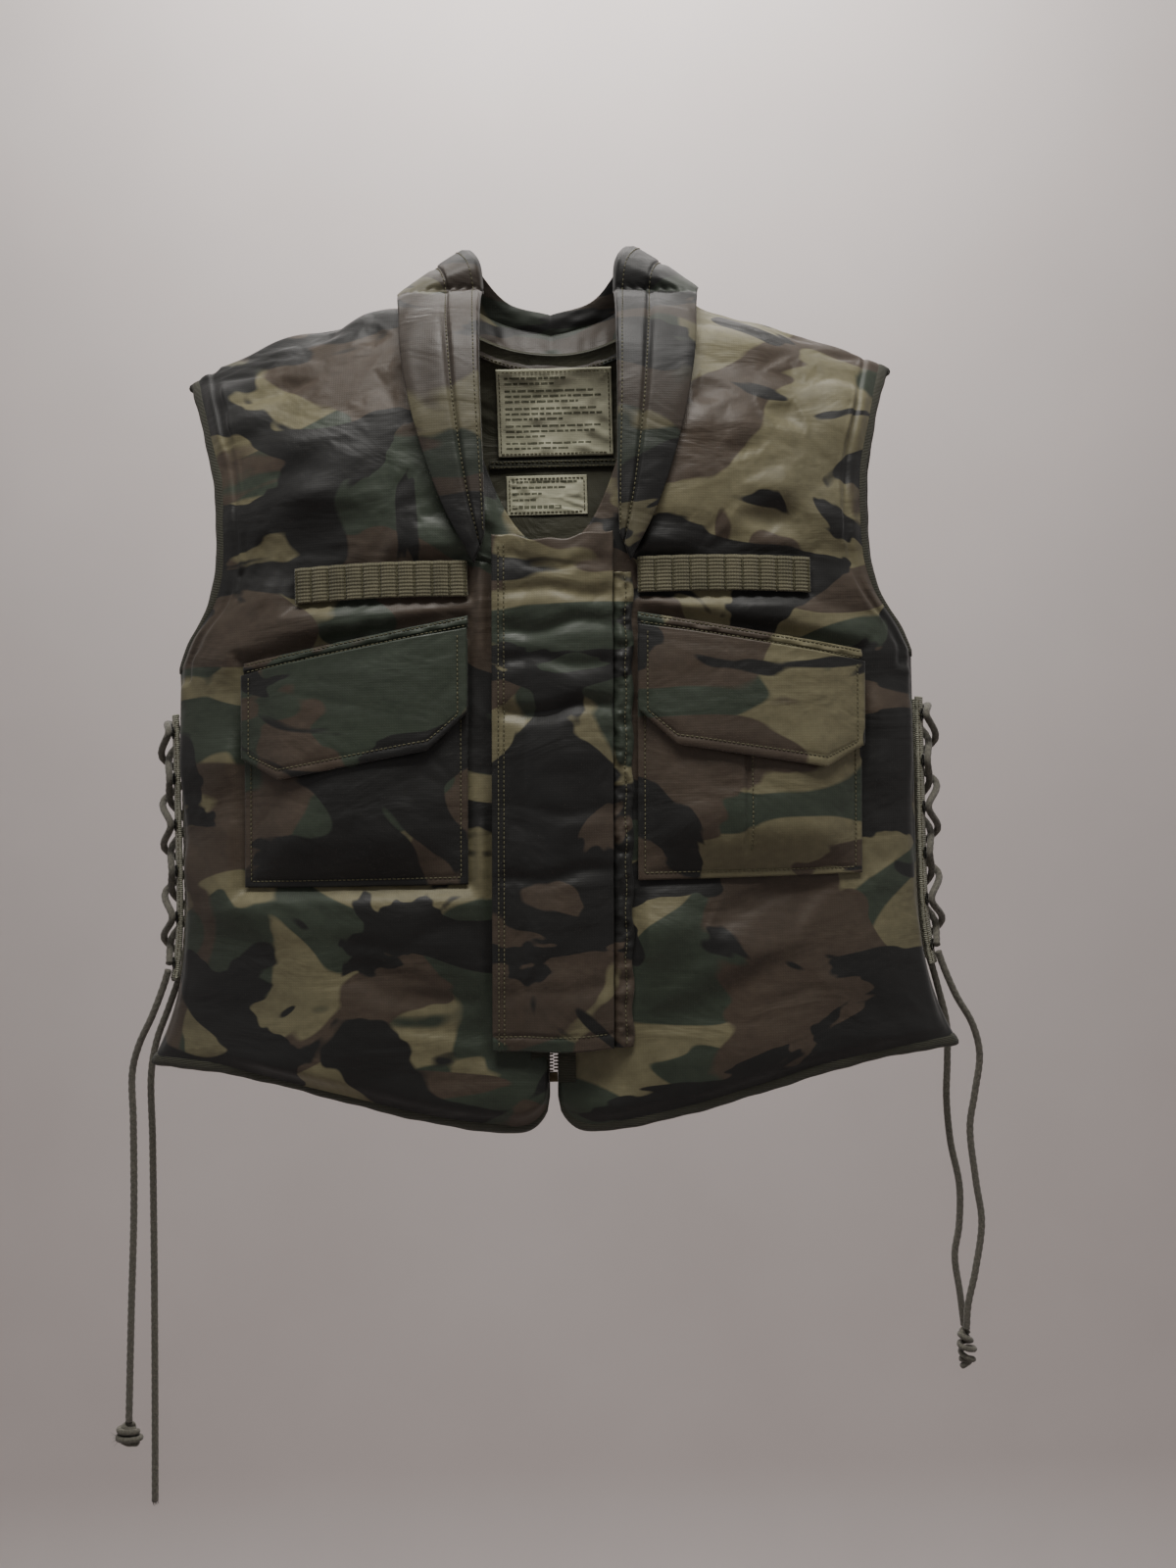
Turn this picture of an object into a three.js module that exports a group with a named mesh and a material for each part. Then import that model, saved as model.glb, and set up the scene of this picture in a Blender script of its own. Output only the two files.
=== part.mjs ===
// Padded fragmentation vest: zip front under a storm flap, three-quarter collar, two chest
// pockets with flaps, chest webbing, and laced sides whose cord ends hang free.
// Millimetres, +Z up. The wearer faces -Y, so the wearer's right side is at -X.
// The origin is the point between the shoulders where a hanger carries the vest.
import * as THREE from 'three';

// ---------------------------------------------------------------- driving dimensions
// Body of the vest
const HALF_WIDTH = 297;            // silhouette half width at the chest
const HEM_FLARE = 30;              // how much wider each side is at the hem
const FRONT_DEPTH = 78;            // front face to the middle plane
const BACK_DEPTH = 70;             // back face to the middle plane
const SECTION_POWER = 2.6;         // squareness of the oval cross-section
const CROWN_RADIUS = 150;          // height over which the shoulders round over the hanger
const CROWN_TOP = 15;              // height of the shoulder line's crown above the origin
const SHOULDER_HALF = 275;         // shoulder tip from the centre
const SHOULDER_DROP = 60;          // shoulder tip below the crown
const SIDE_HEM_Z = -578;           // hem at the side
const CENTRE_HEM_DROP = 49;        // how much lower the front hem is at the centre
const BACK_HEM_DROP = 12;
const HEM_CORNER = 28;             // rounding of each front's lower corner
const UNDERARM_Z = -276;
const NECK_HALF = 80;              // neck edge at the shoulder
const BACK_NECK_DROP = 30;         // dip of the back neckline
const V_NECK_Z = -197;             // where the front neckline meets the closure
const CLOSURE_LEAN = 9 / 411;      // the closure's sideways lean, per millimetre of height
const FRONT_GAP = 6;               // between the two fronts' edges

// Layers, from the outside in
const FABRIC = 1.2;                // cover and lining thickness
const FILLER = 9;                  // ballistic plies
const CLEAR = 0.3;                 // between touching pieces
const BINDING = 3;                 // binding tape beyond a raw edge

// Collar
const COLLAR_FILLER = 10;

// Storm flap and zip
const FLAP_HALF = 44;
const FLAP_TOP_Z = -189;
const FLAP_BOTTOM_Z = -565;
const FLAP_PAD = 4;                // storm flap thickness
const FLAP_RISE = 9;               // arch of the flap over the zip
const FLAP_SEAM_WIDTH = 14;
const GRIP_WIDTH = 15;             // hook-and-loop tape width
const GRIP_THICK = 1.2;
const ZIP_TAPE_WIDTH = 13;
const ZIP_TAPE_THICK = 0.8;
const ZIP_TOP_Z = -204;
const ZIP_BOTTOM_Z = -590;
const CHAIN_WIDTH = 3;
const CHAIN_THICK = 2.2;

// Webbing and pockets
const SURFACE_GAP = 0.8;           // sewn pieces above the smooth cover surface
const WEBBING_WIDTH = 26;
const WEBBING_THICK = 2.4;
const WEBBING_INNER = 62;          // inner end from the centre
const WEBBING_LENGTH = 128;
const WEBBING_Z = -221;
const POCKET_INNER = 62;
const POCKET_WIDTH = 168;
const POCKET_BOTTOM_Z = -444;
const POCKET_BULGE = 15;
const POCKET_FABRIC = 1.6;
const FLAP_SEAM_Z = -257;          // pocket flap seam at its inner end
const FLAP_SEAM_SLOPE = 29;        // seam drop towards the side
const FLAP_SEAM_BAND = 9;
const POCKET_FLAP_LENGTH = 62;
const POCKET_FLAP_POINT = 22;      // how much longer the flap is between its clipped corners
const POCKET_FLAP_THICK = 2.4;
const POCKET_GRIP_WIDTH = 20;

// Side lacing
const SIDE_GAP_HALF = 24;          // panel's side edge from the middle plane
const STRIP_INNER = 9;             // strip's free edge from the middle plane
const STRIP_THICK = 2;
const STRIP_SETBACK = 1.6;         // strip from the panel's side edge
const STRIP_TOP_Z = -311;
const STRIP_BOTTOM_Z = -519;
const EYELETS = 6;
const CORD_RADIUS = 2.75;

// ---------------------------------------------------------------- small helpers
const lerp = (a, b, t) => a + (b - a) * t;
const clamp01 = (t) => Math.min(1, Math.max(0, t));
const vec = (x, y, z) => new THREE.Vector3(x, y, z);

// Smooth function through [position, value] knots in rising order of position.
function through(knots) {
  const slope = (i) => {
    const a = knots[Math.max(0, i - 1)];
    const b = knots[Math.min(knots.length - 1, i + 1)];
    return (b[1] - a[1]) / (b[0] - a[0]);
  };
  return (position) => {
    const p = Math.min(knots.at(-1)[0], Math.max(knots[0][0], position));
    let i = 0;
    while (i < knots.length - 2 && p > knots[i + 1][0]) i += 1;
    const [x0, y0] = knots[i];
    const [x1, y1] = knots[i + 1];
    const h = x1 - x0;
    const t = (p - x0) / h;
    const a = 2 * t ** 3 - 3 * t ** 2 + 1;
    const b = t ** 3 - 2 * t ** 2 + t;
    const c = t ** 3 - t ** 2;
    return a * y0 + b * h * slope(i) + (1 - a) * y1 + c * h * slope(i + 1);
  };
}

// Geometry from points and triangles, turned so that its faces point outward.
function closedGeometry(points, triangles) {
  let volume = 0;
  for (const [a, b, c] of triangles) {
    volume += points[a].dot(vec(0, 0, 0).crossVectors(points[b], points[c]));
  }
  const faces = volume < 0 ? triangles.map(([a, b, c]) => [a, c, b]) : triangles;
  const geometry = new THREE.BufferGeometry();
  geometry.setAttribute('position', new THREE.Float32BufferAttribute(points.flatMap((p) => p.toArray()), 3));
  geometry.setIndex(faces.flat());
  geometry.computeVertexNormals();
  return geometry;
}

// Closed sheet between two grids of points of the same size.
function sheetBetween(upper, lower) {
  const columns = upper.length - 1;
  const rows = upper[0].length - 1;
  const stride = rows + 1;
  const points = [...upper.flat(), ...lower.flat()];
  const shift = stride * (columns + 1);
  const top = (i, j) => i * stride + j;
  const low = (i, j) => shift + top(i, j);
  const triangles = [];
  const quad = (a, b, c, d) => triangles.push([a, b, c], [a, c, d]);
  for (let i = 0; i < columns; i += 1) {
    for (let j = 0; j < rows; j += 1) {
      quad(top(i, j), top(i + 1, j), top(i + 1, j + 1), top(i, j + 1));
      triangles.push([low(i, j), low(i, j + 1), low(i + 1, j + 1)]);
      triangles.push([low(i, j), low(i + 1, j + 1), low(i + 1, j)]);
    }
    quad(low(i, 0), low(i + 1, 0), top(i + 1, 0), top(i, 0));
    quad(top(i, rows), top(i + 1, rows), low(i + 1, rows), low(i, rows));
  }
  for (let j = 0; j < rows; j += 1) {
    quad(top(0, j), top(0, j + 1), low(0, j + 1), low(0, j));
    quad(low(columns, j), low(columns, j + 1), top(columns, j + 1), top(columns, j));
  }
  return closedGeometry(points, triangles);
}

// Closed bar through rings of the same number of points.
function loft(rings) {
  const count = rings[0].length;
  const points = rings.flat();
  const triangles = [];
  for (let r = 0; r < rings.length - 1; r += 1) {
    for (let k = 0; k < count; k += 1) {
      const next = (k + 1) % count;
      const a = r * count + k;
      const b = r * count + next;
      triangles.push([a, b, b + count], [a, b + count, a + count]);
    }
  }
  const last = (rings.length - 1) * count;
  for (let k = 1; k < count - 1; k += 1) {
    triangles.push([0, k + 1, k], [last, last + k, last + k + 1]);
  }
  return closedGeometry(points, triangles);
}

const gridOf = (columns, rows, at) => Array.from({ length: columns + 1 }, (_, i) =>
  Array.from({ length: rows + 1 }, (__, j) => at(i / columns, j / rows)));

// ---------------------------------------------------------------- the vest's form
const centreAt = (z) => CLOSURE_LEAN * Math.max(0, Math.min(V_NECK_Z, z) - SIDE_HEM_Z + CENTRE_HEM_DROP - HEM_CORNER);
const flareStart = -430;
const halfWidthAt = (z) => HALF_WIDTH + HEM_FLARE * clamp01((flareStart - z) / (flareStart - SIDE_HEM_Z)) ** 3;
const crownDrop = SHOULDER_DROP / SHOULDER_HALF ** 1.6;
const crownAt = (x) => CROWN_TOP - crownDrop * Math.abs(x) ** 1.6;

function sectionAt(x, z) {
  const across = Math.min(1, Math.abs(x) / halfWidthAt(z));
  const below = clamp01((crownAt(x) - z) / CROWN_RADIUS);
  return Math.sqrt(1 - across ** SECTION_POWER) * Math.sqrt(1 - (1 - below) ** 2);
}
const frontY = (x, z) => -FRONT_DEPTH * sectionAt(x, z);
const backY = (x, z) => BACK_DEPTH * sectionAt(x, z);

// Point at a height above the front cover's outer face.
function onFront(x, z, height) {
  const step = 1;
  const slopeX = (frontY(x + step, z) - frontY(x - step, z)) / (2 * step);
  const slopeZ = (frontY(x, z + step) - frontY(x, z - step)) / (2 * step);
  const outward = vec(slopeX, -1, slopeZ).normalize();
  return vec(x, frontY(x, z), z).addScaledVector(outward, height);
}

const neckOpening = (z) => (NECK_HALF - FRONT_GAP / 2) * clamp01((z - V_NECK_Z) / -V_NECK_Z) ** 0.45;
const edgeShare = (1 - (SIDE_GAP_HALF / FRONT_DEPTH) ** 2) ** (1 / SECTION_POWER);
const frontArmhole = through([[UNDERARM_Z, edgeShare * HALF_WIDTH], [-258, 276], [-231, 256], [-195, 247],
  [-140, 248], [-90, 260], [CROWN_TOP - SHOULDER_DROP, SHOULDER_HALF]]);
const backArmhole = through([[UNDERARM_Z, edgeShare * HALF_WIDTH], [-240, 275], [-190, 266], [-120, 265],
  [CROWN_TOP - SHOULDER_DROP, SHOULDER_HALF]]);
const outerEdge = (armhole, z) => (z > UNDERARM_Z ? armhole(z) : edgeShare * halfWidthAt(z));

// Patch between four edge curves: low and high run with u, near and far run with v.
function patch(low, high, near, far) {
  return (u, v) => {
    const mix = (axis) => (1 - v) * low(u)[axis] + v * high(u)[axis] + (1 - u) * near(v)[axis] + u * far(v)[axis]
      - (1 - u) * (1 - v) * low(0)[axis] - u * (1 - v) * low(1)[axis]
      - (1 - u) * v * high(0)[axis] - u * v * high(1)[axis];
    return [mix(0), mix(1)];
  };
}

function frontHem(fromCentre) {
  const wave = (Math.cos(Math.PI * clamp01(fromCentre / 300)) + 1) / 2;
  const corner = Math.max(0, HEM_CORNER - (fromCentre - FRONT_GAP / 2));
  return SIDE_HEM_Z - CENTRE_HEM_DROP * wave + HEM_CORNER - Math.sqrt(HEM_CORNER ** 2 - corner ** 2);
}

// One front in the (x, z) plane; side is -1 for the wearer's right and +1 for the left.
function frontOutline(side) {
  const nearX = (z) => centreAt(z) + side * (FRONT_GAP / 2 + neckOpening(z));
  const hemEnd = side * outerEdge(frontArmhole, SIDE_HEM_Z);
  const cornerZ = frontHem(FRONT_GAP / 2);
  const cornerX = nearX(cornerZ);
  const low = (u) => {
    const x = lerp(cornerX, hemEnd, u);
    return [x, frontHem(lerp(FRONT_GAP / 2, Math.abs(hemEnd), u))];
  };
  const neckX = side * NECK_HALF + centreAt(0);
  const high = (u) => {
    const x = lerp(neckX, side * SHOULDER_HALF, u);
    return [x, crownAt(x)];
  };
  const near = (v) => {
    const z = lerp(cornerZ, crownAt(neckX), v);
    return [v === 1 ? neckX : nearX(z), z];
  };
  const far = (v) => {
    const z = lerp(SIDE_HEM_Z, crownAt(SHOULDER_HALF), v);
    return [side * outerEdge(frontArmhole, z), z];
  };
  const shape = patch(low, high, near, far);
  return (u, v) => shape(u ** 1.4, 1 - (1 - v) ** 1.6);
}

function backOutline() {
  const hemHalf = outerEdge(backArmhole, SIDE_HEM_Z);
  const low = (u) => {
    const x = lerp(-hemHalf, hemHalf, u);
    return [x, SIDE_HEM_Z - BACK_HEM_DROP * (1 - (x / hemHalf) ** 2)];
  };
  const high = (u) => {
    const x = lerp(-SHOULDER_HALF, SHOULDER_HALF, u);
    const dip = Math.max(0, 1 - ((x - centreAt(0)) / NECK_HALF) ** 2);
    return [x, crownAt(x) - BACK_NECK_DROP * dip];
  };
  const edge = (sign) => (v) => {
    const z = lerp(SIDE_HEM_Z, crownAt(SHOULDER_HALF), v);
    return [sign * outerEdge(backArmhole, z), z];
  };
  const shape = patch(low, high, edge(-1), edge(1));
  return (u, v) => shape(u, 1 - (1 - v) ** 1.6);
}

// Grid of points with outward directions, so that layers can be set at any depth.
function bodyGrid(outline, depthOf, sign, columns, rows) {
  const spots = gridOf(columns, rows, (u, v) => {
    const [x, z] = outline(u, v);
    return vec(x, depthOf(x, z), z);
  });
  const ways = spots.map((column, i) => column.map((spot, j) => {
    if (j === rows && Math.abs(spot.y) < 1) return vec(0, 0, 1);
    const alongU = spots[Math.min(columns, i + 1)][j].clone().sub(spots[Math.max(0, i - 1)][j]);
    const alongV = spots[i][Math.min(rows, j + 1)].clone().sub(spots[i][Math.max(0, j - 1)]);
    const way = alongU.cross(alongV).normalize();
    return way.y * sign < 0 ? way.negate() : way;
  }));
  return { spots, ways, sign };
}

function atDepth(grid, depth) {
  return grid.spots.map((column, i) => column.map((spot, j) => {
    const point = spot.clone().addScaledVector(grid.ways[i][j], -depth);
    if (grid.sign < 0) point.y = Math.min(point.y, -CLEAR);
    if (grid.sign > 0) point.y = Math.max(point.y, CLEAR);
    return point;
  }));
}

const COVER_LAYER = [0, FABRIC];
const FILLER_LAYER = [FABRIC + CLEAR, FABRIC + CLEAR + FILLER];
const LINING_LAYER = [FILLER_LAYER[1] + CLEAR, FILLER_LAYER[1] + CLEAR + FABRIC];
const layerOf = (grid, [outer, inner]) => sheetBetween(atDepth(grid, outer), atDepth(grid, inner));

const frontGrids = { right: bodyGrid(frontOutline(-1), frontY, -1, 7, 13), left: bodyGrid(frontOutline(1), frontY, -1, 7, 13) };
const backGrid = bodyGrid(backOutline(), backY, 1, 12, 13);

// ---------------------------------------------------------------- materials
const cloth = (color, roughness = 0.7) => new THREE.MeshStandardMaterial({ color, roughness, metalness: 0 });
const camouflage = () => cloth('#3d4030', 0.55);
const fillerCloth = () => cloth('#b9a45c', 0.8);
const oliveWebbing = () => cloth('#5d5b3d', 0.8);
const oliveTape = () => cloth('#3f4029', 0.8);
const cordCloth = () => cloth('#55534a', 0.85);
const labelCloth = () => cloth('#c9c7a4', 0.8);
const brass = () => new THREE.MeshStandardMaterial({ color: '#6b5f3a', roughness: 0.4, metalness: 0.9 });

const vest = new THREE.Group();
function add(name, geometry, material) {
  const mesh = new THREE.Mesh(geometry, material);
  mesh.name = name;
  vest.add(mesh);
  return mesh;
}

// ---------------------------------------------------------------- panels
for (const [name, grid] of [['right_front', frontGrids.right], ['left_front', frontGrids.left], ['back', backGrid]]) {
  add(`${name}_cover`, layerOf(grid, COVER_LAYER), camouflage());
  add(`${name}_filler`, layerOf(grid, FILLER_LAYER), fillerCloth());
  add(`${name}_lining`, layerOf(grid, LINING_LAYER), camouflage());
}

// Bar of binding tape along points that carry an edge direction and a face direction.
function bindingBar(stations) {
  const depth = LINING_LAYER[1];
  return loft(stations.map(({ spot, away, way }) => [[CLEAR, 0], [CLEAR + BINDING, 0], [CLEAR + BINDING, -depth],
    [CLEAR, -depth]].map(([out, up]) => spot.clone().addScaledVector(away, out).addScaledVector(way, up))));
}

function edgeStations(grid, spots) {
  return spots.map(([i, j, towardI, towardJ]) => {
    const spot = grid.spots[i][j];
    const way = grid.ways[i][j];
    const away = spot.clone().sub(grid.spots[towardI][towardJ]);
    away.addScaledVector(way, -away.dot(way)).normalize();
    return { spot, away, way };
  });
}

// Columns and rows of the grids where the armholes start.
const armholeStart = (grid, column) => grid.spots[column].findIndex((spot) => spot.z > UNDERARM_Z - 5);
for (const [name, side] of [['right', -1], ['left', 1]]) {
  const front = frontGrids[name];
  const column = 7;
  const backColumn = side > 0 ? 12 : 0;
  const backInner = side > 0 ? 11 : 1;
  for (const [place, grid, own, inner] of [['front', front, column, column - 1], ['back', backGrid, backColumn, backInner]]) {
    const first = armholeStart(grid, own);
    const rows = Array.from({ length: 13 - first }, (_, k) => first + k);
    add(`${name}_${place}_armhole_binding`,
      bindingBar(edgeStations(grid, rows.map((j) => [own, j, inner, j]))), oliveTape());
  }
  const columns = Array.from({ length: 8 }, (_, i) => i);
  add(`${name}_front_hem_binding`, bindingBar(edgeStations(front, columns.map((i) => [i, 0, i, 1]))), oliveTape());
}
const backColumns = Array.from({ length: 13 }, (_, i) => i);
add('back_hem_binding', bindingBar(edgeStations(backGrid, backColumns.map((i) => [i, 0, i, 1]))), oliveTape());

// ---------------------------------------------------------------- collar
// Stations run from the centre of the back, 0, round to a lapel's lower tip, 1.
const collarThick = 2 * FABRIC + 2 * CLEAR + COLLAR_FILLER;
const lapelLift = collarThick + SURFACE_GAP;
const outerX = through([[0, 0], [0.15, 52], [0.3, 98], [0.42, 120], [0.54, 115], [0.66, 109], [0.78, 98],
  [0.9, 79], [1, 57]]);
const outerZ = through([[0, -10], [0.15, 0], [0.3, 12], [0.42, 17], [0.54, -7], [0.66, -56], [0.78, -110],
  [0.9, -168], [1, -211]]);
const innerX = through([[0, 0], [0.15, 38], [0.3, 62], [0.42, 72], [0.54, 58], [0.66, 53], [0.78, 51],
  [0.9, 49], [1, 49]]);
const innerZ = through([[0, 18], [0.15, 26], [0.3, 42], [0.42, 54], [0.54, 30], [0.66, -18], [0.78, -80],
  [0.9, -148], [1, -190]]);
const outerYBehind = through([[0, 66], [0.15, 60], [0.3, 36], [0.42, 2], [0.54, -62]]);
const innerYBehind = through([[0, 56], [0.15, 50], [0.3, 28], [0.42, 2], [0.54, -30], [0.66, -64]]);
const facingX = through([[0, 0], [0.15, 0.45], [0.3, 0.85], [0.42, 1], [0.54, 0.7], [0.66, 0.25], [0.78, 0.1], [1, 0]]);
const facingY = through([[0, 1], [0.15, 0.89], [0.3, 0.5], [0.42, 0], [0.54, -0.7], [0.66, -0.95], [1, -1]]);
const lapelStart = 0.6;
const shoulderLift = 5;            // extra height where the collar bridges the rounded shoulder

function collarGrid(columns, rows) {
  const at = (u, v) => {
    const along = Math.abs(2 * u - 1);
    const side = Math.sign(2 * u - 1) || 1;
    const z = lerp(outerZ(along), innerZ(along), v);
    const x = lerp(outerX(along), innerX(along), v);
    const lapelY = frontY(side * x + centreAt(z), z) - lapelLift - shoulderLift * clamp01((0.82 - along) / 0.2);
    const behindY = lerp(outerYBehind(along), innerYBehind(along), v);
    const share = clamp01((along - 0.5) / (lapelStart - 0.5));
    return { x, z, side, along, y: lerp(behindY, lapelY, share) };
  };
  const spots = gridOf(columns, rows, (u, v) => {
    const { x, y, z, side } = at(u, v);
    return vec(side * x + centreAt(z), y, z);
  });
  const ways = gridOf(columns, rows, (u, v) => {
    const { side, along } = at(u, v);
    return vec(side * facingX(along), facingY(along), 0).normalize();
  });
  return { spots, ways, sign: 0 };
}
const collar = collarGrid(24, 3);
const collarFillerLayer = [FABRIC + CLEAR, FABRIC + CLEAR + COLLAR_FILLER];
add('collar_outer_cover', layerOf(collar, COVER_LAYER), camouflage());
add('collar_filler', layerOf(collar, collarFillerLayer), fillerCloth());
add('collar_inner_cover', layerOf(collar, [collarFillerLayer[1] + CLEAR, collarThick]), camouflage());

// ---------------------------------------------------------------- sewn pieces on the fronts
// Sheet on the fronts from a plan and the heights of its two faces.
function frontSheet(columns, rows, plan, upper, lower) {
  const face = (height) => gridOf(columns, rows, (u, v) => {
    const [x, z] = plan(u, v);
    return onFront(x, z, height(u, v));
  });
  return sheetBetween(face(upper), face(lower));
}
const flat = (height) => () => height;

// Zip: two tapes, two chains, a slider with its tab, and a bottom box.
const zipHeight = SURFACE_GAP + ZIP_TAPE_THICK + CLEAR;
const chainOuter = CHAIN_WIDTH + CLEAR / 2;
for (const [name, side] of [['right', -1], ['left', 1]]) {
  const strip = (from, to, low, high) => (u, v) => {
    const z = lerp(low, high, v);
    return [centreAt(z) + side * lerp(from, to, u), z];
  };
  add(`${name}_zip_tape`, frontSheet(1, 10, strip(chainOuter + CLEAR, chainOuter + ZIP_TAPE_WIDTH, ZIP_BOTTOM_Z, ZIP_TOP_Z),
    flat(SURFACE_GAP + ZIP_TAPE_THICK), flat(SURFACE_GAP)), oliveTape());
  add(`${name}_zip_chain`, frontSheet(1, 10, strip(CLEAR / 2, chainOuter, ZIP_BOTTOM_Z + 8, ZIP_TOP_Z - 4),
    flat(zipHeight + CHAIN_THICK - 1), flat(zipHeight - 1)), brass());
}
const chainTop = zipHeight + CHAIN_THICK - 1;
const sliderZ = ZIP_TOP_Z - 16;
const sliderLength = 13;
const sliderHalf = 5;
const sliderLift = chainTop + CLEAR;
const sliderPlate = 2;
function frontBlock(x0, x1, z0, z1, low, high) {
  return frontSheet(1, 1, (u, v) => {
    const z = lerp(z0, z1, v);
    return [centreAt((z0 + z1) / 2) + lerp(x0, x1, u), z];
  }, flat(high), flat(low));
}
add('zip_slider', frontBlock(-sliderHalf, sliderHalf, sliderZ - sliderLength, sliderZ, sliderLift, sliderLift + sliderPlate), brass());
const tabLength = 24;
add('zip_pull_tab', frontBlock(-2.5, 2.5, sliderZ - tabLength, sliderZ - 3,
  sliderLift + sliderPlate + CLEAR, sliderLift + sliderPlate + CLEAR + 1.4), brass());
const boxHalf = 3;
add('zip_bottom_box', frontBlock(-boxHalf, boxHalf, ZIP_BOTTOM_Z + 1, ZIP_BOTTOM_Z + 8 - CLEAR,
  SURFACE_GAP - CLEAR, chainTop), brass());

// Storm flap over the zip, with its hook tape, the loop tape under it and its sewn seam.
const gripBase = SURFACE_GAP + 2 * GRIP_THICK + CLEAR;
const flapFlat = 0.26;
const flapUnder = (u) => lerp(gripBase + CLEAR, SURFACE_GAP + 1, u ** 4)
  + FLAP_RISE * Math.sin(Math.PI * clamp01((u - flapFlat) / (1 - flapFlat))) ** 1.2;
const flapPlan = (u, v) => {
  const z = lerp(FLAP_BOTTOM_Z, FLAP_TOP_Z, v);
  return [centreAt(z) + lerp(-FLAP_HALF, FLAP_HALF, u), z];
};
add('storm_flap', frontSheet(10, 8, flapPlan, (u) => flapUnder(u) + FLAP_PAD, flapUnder), camouflage());
const gripPlan = (u, v) => {
  const z = lerp(FLAP_BOTTOM_Z + 12, FLAP_TOP_Z - 34, v);
  return [centreAt(z) - FLAP_HALF + 3 + GRIP_WIDTH * u, z];
};
add('flap_hook_tape', frontSheet(1, 8, gripPlan, flat(gripBase), flat(gripBase - GRIP_THICK)), oliveTape());
add('flap_loop_tape', frontSheet(1, 8, gripPlan, flat(SURFACE_GAP + GRIP_THICK), flat(SURFACE_GAP)), oliveTape());
const seamHeight = SURFACE_GAP + 1 + FLAP_PAD - 1;
add('storm_flap_seam', frontSheet(1, 8, (u, v) => {
  const z = lerp(FLAP_BOTTOM_Z, V_NECK_Z - 22, v);
  return [centreAt(z) + FLAP_HALF + CLEAR + FLAP_SEAM_WIDTH * u, z];
}, flat(seamHeight), flat(SURFACE_GAP)), camouflage());

for (const [name, side] of [['right', -1], ['left', 1]]) {
  const acrossX = (from, length, u, z) => centreAt(z) + side * (from + length * u);

  // Chest webbing
  add(`${name}_chest_webbing`, frontSheet(7, 1, (u, v) => [
    acrossX(WEBBING_INNER, WEBBING_LENGTH, u, WEBBING_Z), WEBBING_Z + WEBBING_WIDTH * (v - 0.5)], flat(SURFACE_GAP + WEBBING_THICK), flat(SURFACE_GAP)), oliveWebbing());

  // Pocket pouch, open at the top
  const seamZ = (u) => FLAP_SEAM_Z - FLAP_SEAM_SLOPE * u;
  const mouthZ = (u) => seamZ(u) - 8;
  const swell = (u, v) => POCKET_BULGE * Math.min(1, 5 * Math.min(u, 1 - u)) * Math.min(1, 5 * v);
  const pocketPlan = (u, z) => [acrossX(POCKET_INNER, POCKET_WIDTH, u, z), z];
  const pouchPlan = (u, v) => pocketPlan(u, lerp(POCKET_BOTTOM_Z, mouthZ(u), v));
  const pouchUnder = (u, v) => SURFACE_GAP + swell(u, v) * lerp(1, 0.45, v);
  const pouchOver = (u, v) => pouchUnder(u, v) + POCKET_FABRIC;
  add(`${name}_pocket`, frontSheet(10, 7, pouchPlan, pouchOver, pouchUnder), camouflage());

  // Sewn band that holds the flap
  const bandTop = (u) => seamZ(u) + FLAP_SEAM_BAND;
  add(`${name}_pocket_flap_band`, frontSheet(8, 1, (u, v) => pocketPlan(u,
    lerp(seamZ(u) + CLEAR, bandTop(u), v)), flat(SURFACE_GAP + 3), flat(SURFACE_GAP)), camouflage());

  // Pocket flap with clipped lower corners, lying over the pouch
  const drop = (u) => POCKET_FLAP_LENGTH + POCKET_FLAP_POINT * Math.min(1, 6 * u, 5 * (1 - u));
  const flapTop = (u) => seamZ(u) - 0.2;
  const pocketFlapPlan = (u, v) => pocketPlan(u, lerp(flapTop(u) - drop(u), flapTop(u), v));
  const pouchShareAt = (u, z) => clamp01((z - POCKET_BOTTOM_Z) / (mouthZ(u) - POCKET_BOTTOM_Z));
  const pocketFlapUnder = (u, v) => {
    const z = pocketFlapPlan(u, v)[1];
    return Math.max(pouchOver(u, pouchShareAt(u, z)) + 2 * GRIP_THICK + 3 * CLEAR, SURFACE_GAP + 1.5);
  };
  add(`${name}_pocket_flap`, frontSheet(10, 5, pocketFlapPlan,
    (u, v) => pocketFlapUnder(u, v) + POCKET_FLAP_THICK, pocketFlapUnder), camouflage());

  // Hook and loop tapes between flap and pouch
  const tapeU = (u) => lerp(0.2, 0.8, u);
  const tapeZ = (u, v) => flapTop(tapeU(u)) - POCKET_FLAP_LENGTH - 4 + POCKET_GRIP_WIDTH * v;
  const tapeLift = (extra) => (u, v) => pouchOver(tapeU(u), pouchShareAt(tapeU(u), tapeZ(u, v))) + extra;
  const tapeAt = (low) => frontSheet(6, 1, (u, v) => pocketPlan(tapeU(u), tapeZ(u, v)),
    tapeLift(low + GRIP_THICK), tapeLift(low));
  add(`${name}_pocket_loop_tape`, tapeAt(CLEAR), oliveTape());
  add(`${name}_pocket_hook_tape`, tapeAt(2 * CLEAR + GRIP_THICK), oliveTape());
}

// ---------------------------------------------------------------- labels inside the back
const LABEL_THICK = 0.7;

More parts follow.
